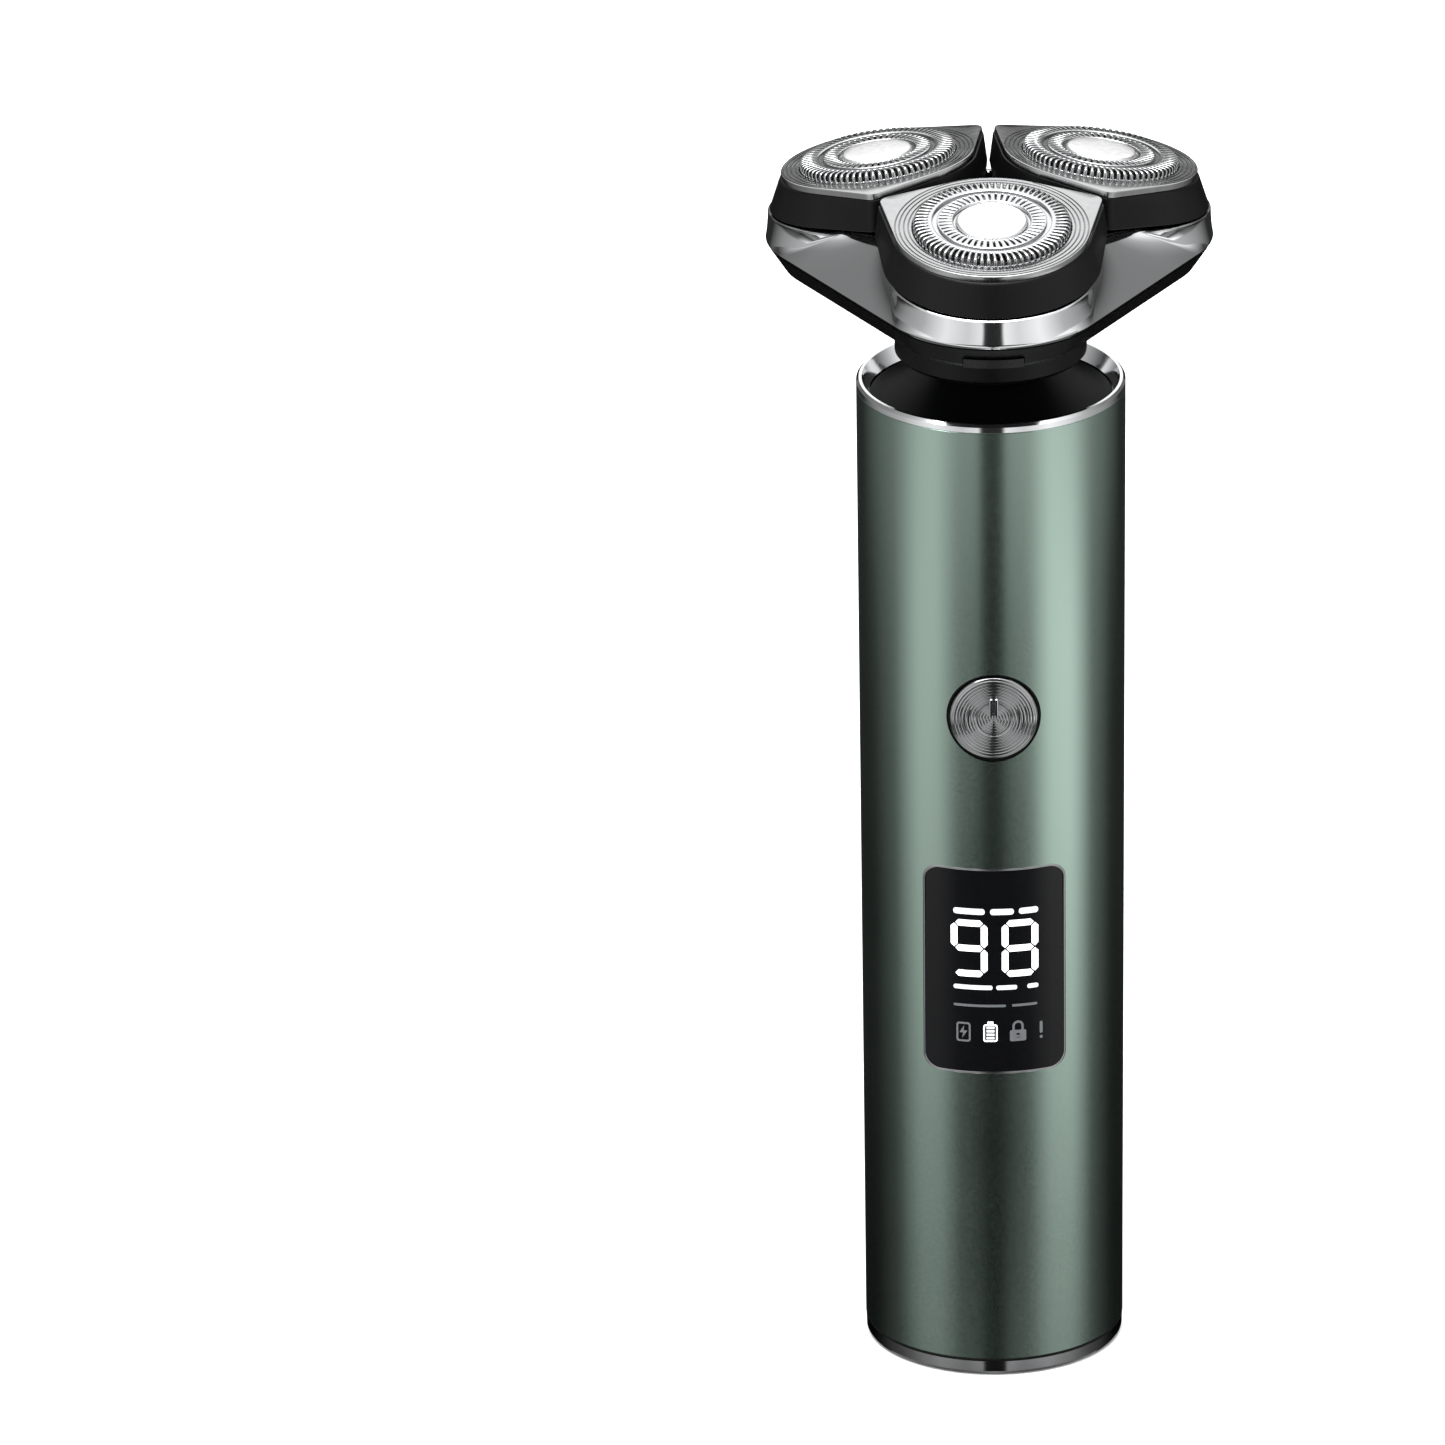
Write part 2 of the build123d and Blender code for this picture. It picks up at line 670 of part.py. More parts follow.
with BuildPart() as base_gasket:
    extrude(clover(gear_centre, well_wall_radius + 0.4, well_waist + 0.4, seam_z - 0.04), amount=0.4)
    extrude(clover(gear_centre, well_wall_radius + 0.02, well_waist + 0.02, seam_z - 0.04), amount=0.4,
            mode=Mode.SUBTRACT)
keep(base_gasket, "base_gasket")

# ================= gears and spindles =================

with BuildPart() as sun_gear:
    extrude(gear_outline(sun_teeth, 0, gear_foot_z), amount=gear_width)
    with BuildSketch(Plane.XY.offset(pivot_z - 1.8)):
        Circle(2.5)
    extrude(amount=gear_foot_z - pivot_z + 1.9)
    with BuildSketch(Plane.XY.offset(pivot_z - 1.8)):
        RegularPolygon(1.64, 6, major_radius=False)
    extrude(amount=3.9, mode=Mode.SUBTRACT)
keep(sun_gear, "sun_gear")

for side, angle in pod_angles.items():
    centre = polar(gear_centre, angle)
    mesh_share = 0.5 - angle * sun_teeth / 360
    planet_phase = angle + 180 - mesh_share * 360 / planet_teeth
    with BuildPart() as planet_gear:
        with Locations(centre):
            add(extrude(gear_outline(planet_teeth, planet_phase, gear_foot_z), amount=gear_width,
                        mode=Mode.PRIVATE))
        with BuildSketch(Plane.XY.offset(gear_foot_z)):
            with Locations(centre):
                Circle(spindle_radius)
                with PolarLocations(6.0, 5):
                    Circle(2.1)
        extrude(amount=gear_width, mode=Mode.SUBTRACT)
    keep(planet_gear, f"planet_gear_{side}")

    with BuildPart() as spindle:
        with BuildSketch(Plane.XY.offset(deck_z - 1.1)):
            with Locations(centre):
                Circle(spindle_radius - 0.01)
        extrude(amount=spindle_tip_z - deck_z + 1.1)
        with Locations((*centre, spindle_tip_z)):
            Sphere(spindle_tip_radius)
    keep(spindle, f"spindle_{side}")

# ================= lift-off cup =================

leaf_radius = frame_radius - 0.3
with BuildPart() as head_frame:
    bevel_z = seam_z + 0.7
    loft([lobed_hull(pod_spread, frame_radius - 0.55, seam_z).face(),
          lobed_hull(pod_spread, frame_radius, bevel_z).face()])
    loft([lobed_hull(pod_spread, frame_radius, bevel_z).face(),
          clover(pod_spread, leaf_radius, frame_waist, frame_crest_z).face()])
    loft([lobed_hull(pod_spread, frame_radius - frame_wall, seam_z - 0.2).face(),
          clover(pod_spread, leaf_radius - frame_wall, frame_waist - frame_wall, frame_crest_z + 0.2).face()],
         mode=Mode.SUBTRACT)
    # the rim follows the undersides of the three pods
    for angle in pod_angles.values():
        fall = (*polar(sin(radians(rim_lean)), angle), cos(radians(rim_lean)))
        split(bisect_by=Plane(origin=(*polar(pod_spread, angle), rim_z), z_dir=fall), keep=Keep.BOTTOM)
keep(head_frame, "head_frame")


def hinge_plane(angle):
    """Plane square to the hinge pin of the pod at this angle."""
    return Plane(origin=(*polar(hinge_reach, angle), hinge_z), z_dir=(*polar(1, angle + 90), 0))


chamber_floor_z = 156.2
with BuildPart() as hair_chamber:
    liner_gap = frame_wall + 0.06
    loft([lobed_hull(pod_spread, frame_radius - liner_gap, seam_z - 0.2).face(),
          clover(pod_spread, leaf_radius - liner_gap, frame_waist - liner_gap, frame_crest_z + 0.2).face()])
    with BuildSketch(Plane.XY.offset(chamber_floor_z)):
        Circle(40)
    extrude(amount=frame_top_z - 0.1 - chamber_floor_z, mode=Mode.INTERSECT)
    extrude(clover(pod_spread, frame_radius - 2.6, frame_waist - 3.2, chamber_floor_z + 0.8), amount=5,
            mode=Mode.SUBTRACT)
    with BuildSketch(Plane.XY.offset(chamber_floor_z)):
        with PolarLocations(gear_centre, 3, start_angle=30):
            Circle(2.6)
    extrude(amount=2, mode=Mode.SUBTRACT)
    with BuildSketch(Plane.XY.offset(chamber_floor_z)):
        Circle(3.0)
    extrude(amount=4.2)
    # two posts under each pod hold its hinge pin
    with BuildSketch(Plane.XY.offset(chamber_floor_z + 0.4)):
        with PolarLocations(hinge_reach, 3, start_angle=30):
            with Locations((0, 3.5), (0, -3.5)):
                RectangleRounded(2.2, 1.8, 0.3)
    extrude(amount=hinge_z + 1.1 - chamber_floor_z - 0.4)
    for angle in pod_angles.values():
        with BuildSketch(hinge_plane(angle)):
            Circle(hinge_pin_radius)
        extrude(amount=6, both=True, mode=Mode.SUBTRACT)
keep(hair_chamber, "hair_chamber")

with BuildPart() as pod_pins:
    for angle in pod_angles.values():
        with BuildSketch(hinge_plane(angle)):
            Circle(hinge_pin_radius - 0.01)
        extrude(amount=4.8, both=True)
keep(pod_pins, "pod_pins")

# a bowed leaf spring lies on the chamber floor under the inner edge of each pod
spring_reach = 9.5
with BuildPart() as pod_springs:
    for angle in pod_angles.values():
        across = Plane(origin=(*polar(spring_reach, angle), chamber_floor_z + 0.8),
                       x_dir=(*polar(1, angle + 90), 0), z_dir=(*polar(1, angle), 0))
        with BuildSketch(across):
            with BuildLine():
                ThreePointArc((-4.2, 0.2), (0, 1.3), (4.2, 0.2))
            trace(line_width=0.3)
        extrude(amount=1.2, both=True)
keep(pod_springs, "pod_springs")

# ================= pods =================


def pod_outline(radius, shift, corner_x, corner_y, corner_radius, plane):
    """Round pod with an ear on each side: belt round a disc and two corner discs."""
    return rounded_hull([
        (0, shift, radius), (-corner_x, corner_y, corner_radius),
        (0, shift, radius), (corner_x, corner_y, corner_radius),
    ], plane)


# Pod frame: local x runs along the rim, local y outward, local z along the cutter axis.
shell_top = -plate_thickness - 0.02
flange_radius = 11.2
blade_count = 14
for side, angle in pod_angles.items():
    outward = Vector(*polar(1, angle), 0)
    upward = Vector(0, 0, 1)
    cutter_axis = outward * sin(radians(pod_lean)) + upward * cos(radians(pod_lean))
    plate_centre = outward * pod_spread + upward * plate_centre_z
    pod = Plane(origin=plate_centre, x_dir=outward.cross(upward), z_dir=cutter_axis)
    hinge_y = (hinge_reach - pod_spread) * cos(radians(pod_lean)) + (
        plate_centre_z - hinge_z) * sin(radians(pod_lean))
    hinge_drop = (hinge_reach - pod_spread) * sin(radians(pod_lean)) - (
        plate_centre_z - hinge_z) * cos(radians(pod_lean))

    with BuildPart() as pod_shell:
        loft([pod_outline(plate_radius, 0, 13.3, -6.9, 1.4, pod.offset(shell_top)).face(),
              pod_outline(plate_radius + pod_flare, 0.9, 14.0, -6.6, 1.4, pod.offset(-pod_depth)).face()])
        loft([pod_outline(plate_radius - 1, 0, 12.3, -6.3, 1.0, pod.offset(shell_top - 1.0)).face(),
              pod_outline(plate_radius, 0.9, 13.0, -6.0, 1.0, pod.offset(-pod_depth - 0.1)).face()],
             mode=Mode.SUBTRACT)
        with BuildSketch(pod):
            Circle(foil_radius + 0.1)
        extrude(amount=-4, mode=Mode.SUBTRACT)
        # lug that turns on the hinge pin
        with BuildSketch(pod.offset(-pod_depth + 0.1)):
            with Locations((0, hinge_y + 0.9)):
                Rectangle(4.2, 4.4)
        extrude(amount=1.9)
        pin_centre = pod.from_local_coords(Vector(0, hinge_y, hinge_drop))
        with BuildSketch(Plane(origin=pin_centre, z_dir=pod.x_dir)):
            Circle(hinge_pin_radius + slip)
        extrude(amount=4, both=True, mode=Mode.SUBTRACT)
    keep(pod_shell, f"pod_shell_{side}")

    with BuildPart() as track_plate:
        extrude(pod_outline(plate_radius - 0.02, 0, 13.2, -6.85, 1.35, pod.offset(-plate_thickness)),
                amount=plate_thickness)
        chamfer(track_plate.faces().sort_by(Axis((0, 0, 0), cutter_axis))[-1].edges(), 0.2)
        with BuildSketch(pod.offset(-plate_thickness)):
            Circle(foil_radius + 0.1)
        extrude(amount=2, mode=Mode.SUBTRACT)
        with BuildSketch(pod.offset(-0.12)):
            for groove_radius in (11.15, 11.8, 12.45):
                Circle(groove_radius + 0.14)
                Circle(groove_radius - 0.14, mode=Mode.SUBTRACT)
        extrude(amount=1, mode=Mode.SUBTRACT)
    keep(track_plate, f"track_plate_{side}")

    # thin-walled foil cup: side wall with flange, two raised tracks, sunk centre
    section_plane = Plane(origin=plate_centre, x_dir=pod.x_dir, z_dir=pod.y_dir * -1)
    inner_top = foil_height - foil_sheet
    sink = 0.35
    with BuildPart() as shaving_foil:
        with BuildSketch(section_plane):
            with BuildLine():
                Polyline((0.02, inner_top - sink), (5.3, inner_top - sink), (5.3, inner_top),
                         (7.15, inner_top), (7.15, inner_top - sink), (8.15, inner_top - sink),
                         (8.15, inner_top), (9.7, inner_top), (foil_radius - foil_sheet, inner_top - 0.45),
                         (foil_radius - foil_sheet, -2.4), (flange_radius, -2.4), (flange_radius, -1.98),
                         (foil_radius, -1.98), (foil_radius, inner_top - 0.4), (9.85, foil_height),
                         (7.9, foil_height), (7.9, foil_height - sink), (7.4, foil_height - sink),
                         (7.4, foil_height), (5.05, foil_height), (5.05, foil_height - sink),
                         (0.02, foil_height - sink), close=True)
            make_face()
        revolve(axis=Axis(plate_centre, cutter_axis))
    keep(shaving_foil, f"shaving_foil_{side}")

    with BuildPart() as foil_cap:
        with BuildSketch(pod.offset(foil_height - sink + 0.01)):
            Circle(4.7)
        extrude(amount=sink + 0.15)
        chamfer(foil_cap.faces().sort_by(Axis((0, 0, 0), cutter_axis))[-1].edges(), 0.15)
    keep(foil_cap, f"foil_cap_{side}")

    # rotary cutter: spinning disc with two rings of blades and a drive socket below
    with BuildPart() as cutter:
        with BuildSketch(pod.offset(-1.5)):
            Circle(9.6)
            with PolarLocations(6.6, 7):
                Circle(1.1, mode=Mode.SUBTRACT)
        extrude(amount=0.6)
        with BuildSketch(pod.offset(-0.92)):
            with PolarLocations(8.95, blade_count):
                Rectangle(1.2, 0.5)
            with PolarLocations(6.2, blade_count):
                Rectangle(1.4, 0.4)
        extrude(amount=inner_top - 0.08 + 0.92)
        with BuildSketch(pod.offset(-5.5)):
            Circle(3.4)
            Circle(2.3, mode=Mode.SUBTRACT)
        extrude(amount=4.02)
        with BuildSketch(pod.offset(-1.52)):
            Circle(3.4)
        extrude(amount=0.4)
    keep(cutter, f"cutter_{side}")
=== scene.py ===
import json
from math import acos, atan2, cos, degrees, hypot, pi, radians, sin, tan

import bmesh
import bpy
import numpy as np
from mathutils import Matrix, Vector


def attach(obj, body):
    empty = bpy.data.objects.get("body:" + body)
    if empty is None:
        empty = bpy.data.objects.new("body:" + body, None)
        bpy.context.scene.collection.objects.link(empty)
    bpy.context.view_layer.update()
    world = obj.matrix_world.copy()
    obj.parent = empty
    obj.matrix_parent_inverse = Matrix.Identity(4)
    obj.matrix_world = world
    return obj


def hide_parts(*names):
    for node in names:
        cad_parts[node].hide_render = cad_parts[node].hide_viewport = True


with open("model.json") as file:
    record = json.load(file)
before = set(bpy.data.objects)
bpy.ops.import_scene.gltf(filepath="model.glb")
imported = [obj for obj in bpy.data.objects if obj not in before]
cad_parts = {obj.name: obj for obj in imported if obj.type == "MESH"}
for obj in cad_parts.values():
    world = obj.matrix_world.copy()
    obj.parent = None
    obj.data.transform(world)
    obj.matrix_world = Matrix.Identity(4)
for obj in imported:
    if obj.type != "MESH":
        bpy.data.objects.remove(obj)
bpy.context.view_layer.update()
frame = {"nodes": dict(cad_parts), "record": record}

nodes = frame["nodes"]
mm = 0.001
print("frame loaded:", len(nodes), "nodes")


# node sockets that can be added and multiplied
class Socket:
    def __init__(self, tree, socket):
        self.tree, self.socket = tree, socket

    def math(self, operation, first, second=None, third=None):
        values = [v for v in (first, second, third) if v is not None]
        return self.tree.add("ShaderNodeMath", {"operation": operation}, *values)

    def __add__(self, other): return self.math("ADD", self, other)
    def __sub__(self, other): return self.math("SUBTRACT", self, other)
    def __mul__(self, other): return self.math("MULTIPLY", self, other)
    def __truediv__(self, other): return self.math("DIVIDE", self, other)


class Finish:
    # one material and its Principled shader
    def __init__(self, name, **constants):
        self.material = bpy.data.materials.new(name)
        self.material.use_nodes = True
        self.nodes = self.material.node_tree.nodes
        self.links = self.material.node_tree.links
        self.shader = self.nodes["Principled BSDF"]
        for key, value in constants.items():
            self.shader.inputs[key.replace("_", " ")].default_value = value

    def add(self, kind, settings, *values, output=0, sockets=None, **named):
        node = self.nodes.new(kind)
        for key, value in settings.items():
            if key == "stops":  # colour ramp
                points = node.color_ramp.elements
                points.remove(points[-1])
                points[0].position, points[0].color = value[0]
                for position, colour in value[1:]:
                    points.new(position).color = colour
            else:
                setattr(node, key, value)
        filled = dict(enumerate(values)) | (sockets or {})
        filled |= {k.replace("_", " "): v for k, v in named.items()}
        for key, value in filled.items():
            if isinstance(value, Socket):
                self.links.new(value.socket, node.inputs[key])
            else:
                node.inputs[key].default_value = value
        return Socket(self, node.outputs[output])

    def place(self):  # a point in the piece's own metres
        return self.add("ShaderNodeTexCoord", {}, output="Object")

    def axes(self, point):
        node = self.nodes.new("ShaderNodeSeparateXYZ")
        self.links.new(point.socket, node.inputs[0])
        return [Socket(self, node.outputs[i]) for i in range(3)]

    def noise(self, scale, detail=3.0, stretch=(1, 1, 1)):
        point = self.add("ShaderNodeMapping", {}, self.place(), Scale=stretch)
        return self.add("ShaderNodeTexNoise", {}, point, Scale=scale, Detail=detail)

    def blend(self, share, low, high):  # two colours by a share
        return self.add("ShaderNodeMix", {"data_type": "RGBA"}, output=2,
                        sockets={0: share, 6: low, 7: high})

    def feed(self, key, value):
        self.links.new(value.socket, self.shader.inputs[key])

    def bump(self, height, strength, distance):
        self.feed("Normal", self.add("ShaderNodeBump", {}, Height=height, Strength=strength,
                                     Distance=distance))


def shade(colour, factor):
    return (*[min(1.0, c * factor) for c in colour[:3]], 1.0)


tubeFinish = {"colour": (0.325, 0.43, 0.372), "roughness": 0.22, "grain": 2600,
              "coat": 0.12, "coatRoughness": 0.2}


def makeTubePaint():
    look = tubeFinish
    paint = Finish("satin green metal", Metallic=1.0, Coat_Weight=look["coat"],
                   Coat_Roughness=look["coatRoughness"])
    flake = paint.noise(look["grain"], 2.0)
    cloud = paint.noise(38, 2.0)
    tone = paint.blend(flake * 0.6 + cloud * 0.4, shade(look["colour"], 0.90), shade(look["colour"], 1.10))
    paint.feed("Base Color", tone)
    paint.feed("Roughness", flake * 0.08 + cloud * 0.05 + (look["roughness"] - 0.06))
    paint.bump(flake, 0.05, 0.00002)
    return paint.material


chromeFinish = {"colour": (0.80, 0.81, 0.82), "roughness": 0.05, "smudge": 55, "scratch": 900}


def makeChrome(name="polished chrome", **changes):
    look = chromeFinish | changes
    chrome = Finish(name, Metallic=1.0)
    smudge = chrome.noise(look["smudge"], 3.0)
    hairline = chrome.noise(look["scratch"], 2.0, (1, 1, 0.06))
    chrome.feed("Base Color", chrome.blend(smudge, shade(look["colour"], 0.94),
                                           shade(look["colour"], 1.04)))
    chrome.feed("Roughness", smudge * 0.05 + hairline * 0.03 + look["roughness"])
    chrome.bump(hairline, 0.04, 0.00001)
    return chrome.material


plasticFinish = {"colour": (0.0035, 0.0035, 0.0039), "roughness": 0.34, "texture": 3800, "strength": 0.14,
                 "specular": 0.16}


def makePlastic(name, **changes):
    look = plasticFinish | changes
    plastic = Finish(name, Specular_IOR_Level=look["specular"])
    pits = plastic.noise(look["texture"], 2.0)
    cloud = plastic.noise(70, 3.0)
    plastic.feed("Base Color", plastic.blend(cloud * 0.5 + pits * 0.5, shade(look["colour"], 0.8),
                                             shade(look["colour"], 1.2)))
    plastic.feed("Roughness", pits * 0.10 + cloud * 0.08 + (look["roughness"] - 0.09))
    plastic.bump(pits, look["strength"], 0.00003)
    return plastic.material


# turned, ground or spun metal: fine rings about the piece's own axis
ringFinish = {"colour": (0.45, 0.46, 0.47), "roughness": 0.22, "pitch": 0.16,
              "depth": 0.35, "height": 0.00002, "centre": (0, 0)}


def makeRinged(name, **changes):
    look = ringFinish | changes
    metal = Finish(name, Metallic=1.0)
    x, y, _ = metal.axes(metal.place())
    dx, dy = x - look["centre"][0], y - look["centre"][1]
    reach = x.math("SQRT", dx * dx + dy * dy)
    ring = x.math("SINE", reach * (2 * pi / (look["pitch"] * mm)))
    mottle = metal.noise(900, 3.0)
    tone = metal.blend(ring * 0.25 + mottle * 0.5 + 0.25, shade(look["colour"], 0.82),
                       shade(look["colour"], 1.15))
    metal.feed("Base Color", tone)
    metal.feed("Roughness", mottle * 0.12 + (look["roughness"] - 0.05))
    metal.bump(ring * 0.85 + mottle * 0.15, look["depth"], look["height"])
    return metal.material


grainFinish = {"colour": (0.60, 0.61, 0.62), "roughness": 0.26, "scale": 1500,
               "stretch": (1, 1, 0.05), "strength": 0.15}


def makeGrained(name, **changes):
    look = grainFinish | changes
    metal = Finish(name, Metallic=1.0)
    streak = metal.noise(look["scale"], 3.0, look["stretch"])
    stain = metal.noise(120, 3.0)
    metal.feed("Base Color", metal.blend(streak * 0.6 + stain * 0.4, shade(look["colour"], 0.8),
                                         shade(look["colour"], 1.12)))
    metal.feed("Roughness", streak * 0.14 + stain * 0.08 + (look["roughness"] - 0.09))
    metal.bump(streak, look["strength"], 0.00002)
    return metal.material


boardFinish = {"mask": (0.012, 0.11, 0.045, 1), "trace": (0.03, 0.22, 0.09, 1), "pitch": 0.0016}


def makeBoard():
    look = boardFinish
    board = Finish("board solder mask", Roughness=0.3)
    tracks = board.add("ShaderNodeTexBrick", {"offset": 0.5}, board.place(), Scale=1 / look["pitch"],
                       Color1=look["mask"], Color2=look["trace"], Mortar=look["mask"], output=0)
    speck = board.noise(1800, 2.0)
    board.feed("Base Color", board.blend(speck * 0.3, tracks, look["mask"]))
    board.bump(speck, 0.1, 0.00002)
    return board.material


glassFinish = {"colour": (0.0035, 0.0037, 0.0042), "roughness": 0.06, "coat": 0.12, "specular": 0.12}


def makeWindow():
    look = glassFinish
    window = Finish("black display window", Coat_Weight=look["coat"], Coat_Roughness=0.03,
                    Specular_IOR_Level=look["specular"])
    haze = window.noise(60, 3.0)
    window.feed("Base Color", window.blend(haze, shade(look["colour"], 0.8), shade(look["colour"], 1.3)))
    window.feed("Roughness", haze * 0.04 + look["roughness"])
    window.bump(window.noise(400, 2.0), 0.02, 0.00001)
    return window.material


def makeGlow(name, colour, strength):
    glow = Finish(name, Roughness=0.35, Emission_Strength=strength)
    speckle = glow.noise(2200, 2.0)
    tone = glow.blend(speckle, shade(colour, 0.86), shade(colour, 1.0))
    glow.feed("Base Color", tone)
    glow.feed("Emission Color", tone)
    return glow.material


finishes = {
    "body_green": makeTubePaint(),
    "bright_chrome": makeChrome(),
    "satin_black": makePlastic("satin black moulding"),
    "release_black": makePlastic("release tab black", roughness=0.28, strength=0.08),
    "seal_rubber": makePlastic("seal rubber", colour=(0.010, 0.010, 0.010), roughness=0.62, strength=0.3),
    "plate_steel": makeGrained("track plate steel", colour=(0.36, 0.363, 0.366), roughness=0.16),
    "foil_steel": makeGrained("foil steel", colour=(0.50, 0.505, 0.51), roughness=0.16),
    "blade_steel": makeGrained("cutter steel", colour=(0.30, 0.30, 0.31), roughness=0.3, stretch=(1, 1, 1)),
    "spun_chrome": makeChrome("button dark chrome", colour=(0.34, 0.345, 0.35), roughness=0.16),
    "display_glass": makeWindow(),
    "display_back": makePlastic("display back", colour=(0.004, 0.004, 0.005), roughness=0.15,
                                strength=0.02),
    "plain_steel": makeGrained("plain steel"),
    "socket_black": makePlastic("socket moulding", colour=(0.016, 0.016, 0.016), roughness=0.45),
    "chassis_grey": makePlastic("chassis grey", colour=(0.16, 0.16, 0.17), roughness=0.5),
    "battery_wrap": makePlastic("battery wrap", colour=(0.03, 0.10, 0.22), roughness=0.22,
                                texture=500, strength=0.05),
    "board_green": makeBoard(),
    "chip_black": makePlastic("chip black", colour=(0.015, 0.015, 0.016), roughness=0.42),
    "rotor_iron": makeGrained("laminated iron", colour=(0.33, 0.31, 0.29), roughness=0.4, scale=2400,
                              stretch=(0.05, 0.05, 1)),
    "coupling_brass": makeGrained("turned brass", colour=(0.68, 0.52, 0.24), roughness=0.22,
                                  stretch=(0.05, 0.05, 1)),
    "gear_nylon": makePlastic("gear nylon", colour=(0.72, 0.70, 0.64), roughness=0.48, texture=1500),
}
for row in frame["record"]["subparts"]:
    mesh = nodes[row["node"]].data
    mesh.materials.clear()
    mesh.materials.append(finishes[row["material_slot"]])
neckMesh = nodes["neck_plinth"].data
neckMesh.materials.clear()
neckMesh.materials.append(makePlastic("matt black neck", roughness=0.5, specular=0.07))
print("finishes made:", len(finishes))


def addPiece(name, points, faces, material, body, place=None, angle=35):
    mesh = bpy.data.meshes.new(name)
    mesh.from_pydata([tuple(c * mm for c in p) for p in points], [], faces)
    piece = bpy.data.objects.new(name, mesh)
    bpy.context.scene.collection.objects.link(piece)
    build = bmesh.new()
    build.from_mesh(mesh)
    bmesh.ops.remove_doubles(build, verts=build.verts, dist=1e-7)
    loose = [v for v in build.verts if not v.link_faces]
    bmesh.ops.delete(build, geom=loose, context="VERTS")
    bmesh.ops.recalc_face_normals(build, faces=build.faces)
    build.to_mesh(mesh)
    build.free()
    mesh.materials.append(material)
    mesh.shade_smooth()
    mesh.set_sharp_from_angle(angle=radians(angle))
    if place is not None and body == "button":
        piece.matrix_world = place  # its ring pattern is drawn about the piece's own axis
    elif place is not None:
        mesh.transform(place)  # leaning pieces keep a tight box
    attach(piece, body)
    return piece


def grid(rows, capFirst=False, capLast=False):
    # faces over rows of equal length, joined round
    width = len(rows[0])
    points = [p for row in rows for p in row]
    faces = []
    for i in range(len(rows) - 1):
        for j in range(width):
            a, b = i * width + j, i * width + (j + 1) % width
            faces.append((a, b, b + width, a + width))
    if capFirst:
        faces.append(tuple(range(width))[::-1])
    if capLast:
        faces.append(tuple(range((len(rows) - 1) * width, len(rows) * width)))
    return points, faces


def lathe(profile, segments=128, **caps):
    rows = [[(r * cos(2 * pi * k / segments), r * sin(2 * pi * k / segments), z) for k in range(segments)]
            for r, z in profile]
    return grid(rows, **caps)


def belt(circles, samples=24):
    # belt round circles (x, y, radius), counter-clockwise, the same number of points for every belt
    normals = []
    for (x1, y1, r1), (x2, y2, r2) in zip(circles, circles[1:] + circles[:1]):
        heading = degrees(atan2(y2 - y1, x2 - x1))
        normals.append(heading - degrees(acos((r1 - r2) / hypot(x2 - x1, y2 - y1))))
    outline = []
    for i, (x, y, r) in enumerate(circles):
        sweep = (normals[i] - normals[i - 1]) % 360
        arc = [(x + r * cos(radians(normals[i - 1] + sweep * k / samples)),
                y + r * sin(radians(normals[i - 1] + sweep * k / samples))) for k in range(samples + 1)]
        x2, y2, r2 = circles[(i + 1) % len(circles)]
        end = (x2 + r2 * cos(radians(normals[i])), y2 + r2 * sin(radians(normals[i])))
        side = [(arc[-1][0] + (end[0] - arc[-1][0]) * k / samples,
                 arc[-1][1] + (end[1] - arc[-1][1]) * k / samples) for k in range(1, samples)]
        outline += arc + side
    return outline


podAngles = {"front": 270, "right": 30, "left": 150}
pod = {"spread": 17.1, "lean": 9.0, "plateZ": 165.9, "plate": 13.1}


def podPlace(side):
    # the pod's own frame: x along the rim, y outward, z along the cutter axis
    turn = radians(podAngles[side])
    outward = Vector((cos(turn), sin(turn), 0))
    up = Vector((0, 0, 1))
    lean = radians(pod["lean"])
    zAxis = outward * sin(lean) + up * cos(lean)
    xAxis = outward.cross(up)
    yAxis = zAxis.cross(xAxis)
    centre = (outward * pod["spread"] + up * pod["plateZ"]) * mm
    place = Matrix((xAxis, yAxis, zAxis)).transposed().to_4x4()
    place.translation = centre
    return place


foil = {
    "sheet": 0.16, "columns": 288,
    # radius, height, whether the stretch that starts here is slotted (1 outer, 2 inner)
    "profile": [(4.55, 0.60, 0), (5.08, 0.60, 0), (5.14, 0.90, 0), (5.22, 0.98, 0), (5.40, 1.00, 2),
                (6.2, 1.03, 2), (7.02, 1.00, 0), (7.20, 0.98, 0), (7.28, 0.92, 0), (7.32, 0.66, 0),
                (7.86, 0.66, 0), (7.90, 0.92, 0), (7.98, 0.98, 0), (8.16, 1.00, 0), (8.6, 1.03, 1),
                (9.2, 1.04, 1), (9.95, 1.00, 1), (10.22, 0.90, 1), (10.38, 0.72, 1), (10.44, 0.45, 1),
                (10.45, 0.02, 0), (10.45, -0.40, 0), (10.45, -0.9, 0)],
    "slots": {1: (4, (0, 1)), 2: (6, (0, 1))},  # columns in one pitch, and which of them are open
    "swirl": 0.05,
}


def makeFoils():
    look = foil
    count = look["columns"]
    for side in podAngles:
        rows = []
        for radius, height, slotted in look["profile"]:
            swirl = look["swirl"] * (radius - 5.0) / 5.0
            turns = [2 * pi * k / count + swirl for k in range(count)]
            rows.append([(radius * cos(a), radius * sin(a), height) for a in turns])
        points, faces = grid(rows)
        kept = []
        for index, face in enumerate(faces):
            row, column = divmod(index, count)
            slotted = look["profile"][row][2]
            if slotted:
                pitch, openColumns = look["slots"][slotted]
                if column % pitch in openColumns:
                    continue
            kept.append(face)
        piece = addPiece(f"foil_slotted_{side}", points, kept, finishes["foil_steel"], f"pod_{side}",
                         podPlace(side), 40)
        thick = piece.modifiers.new("sheet", "SOLIDIFY")
        thick.thickness = look["sheet"] * mm
        thick.offset = -1
        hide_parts(f"shaving_foil_{side}")
    print("foils made")


makeFoils()


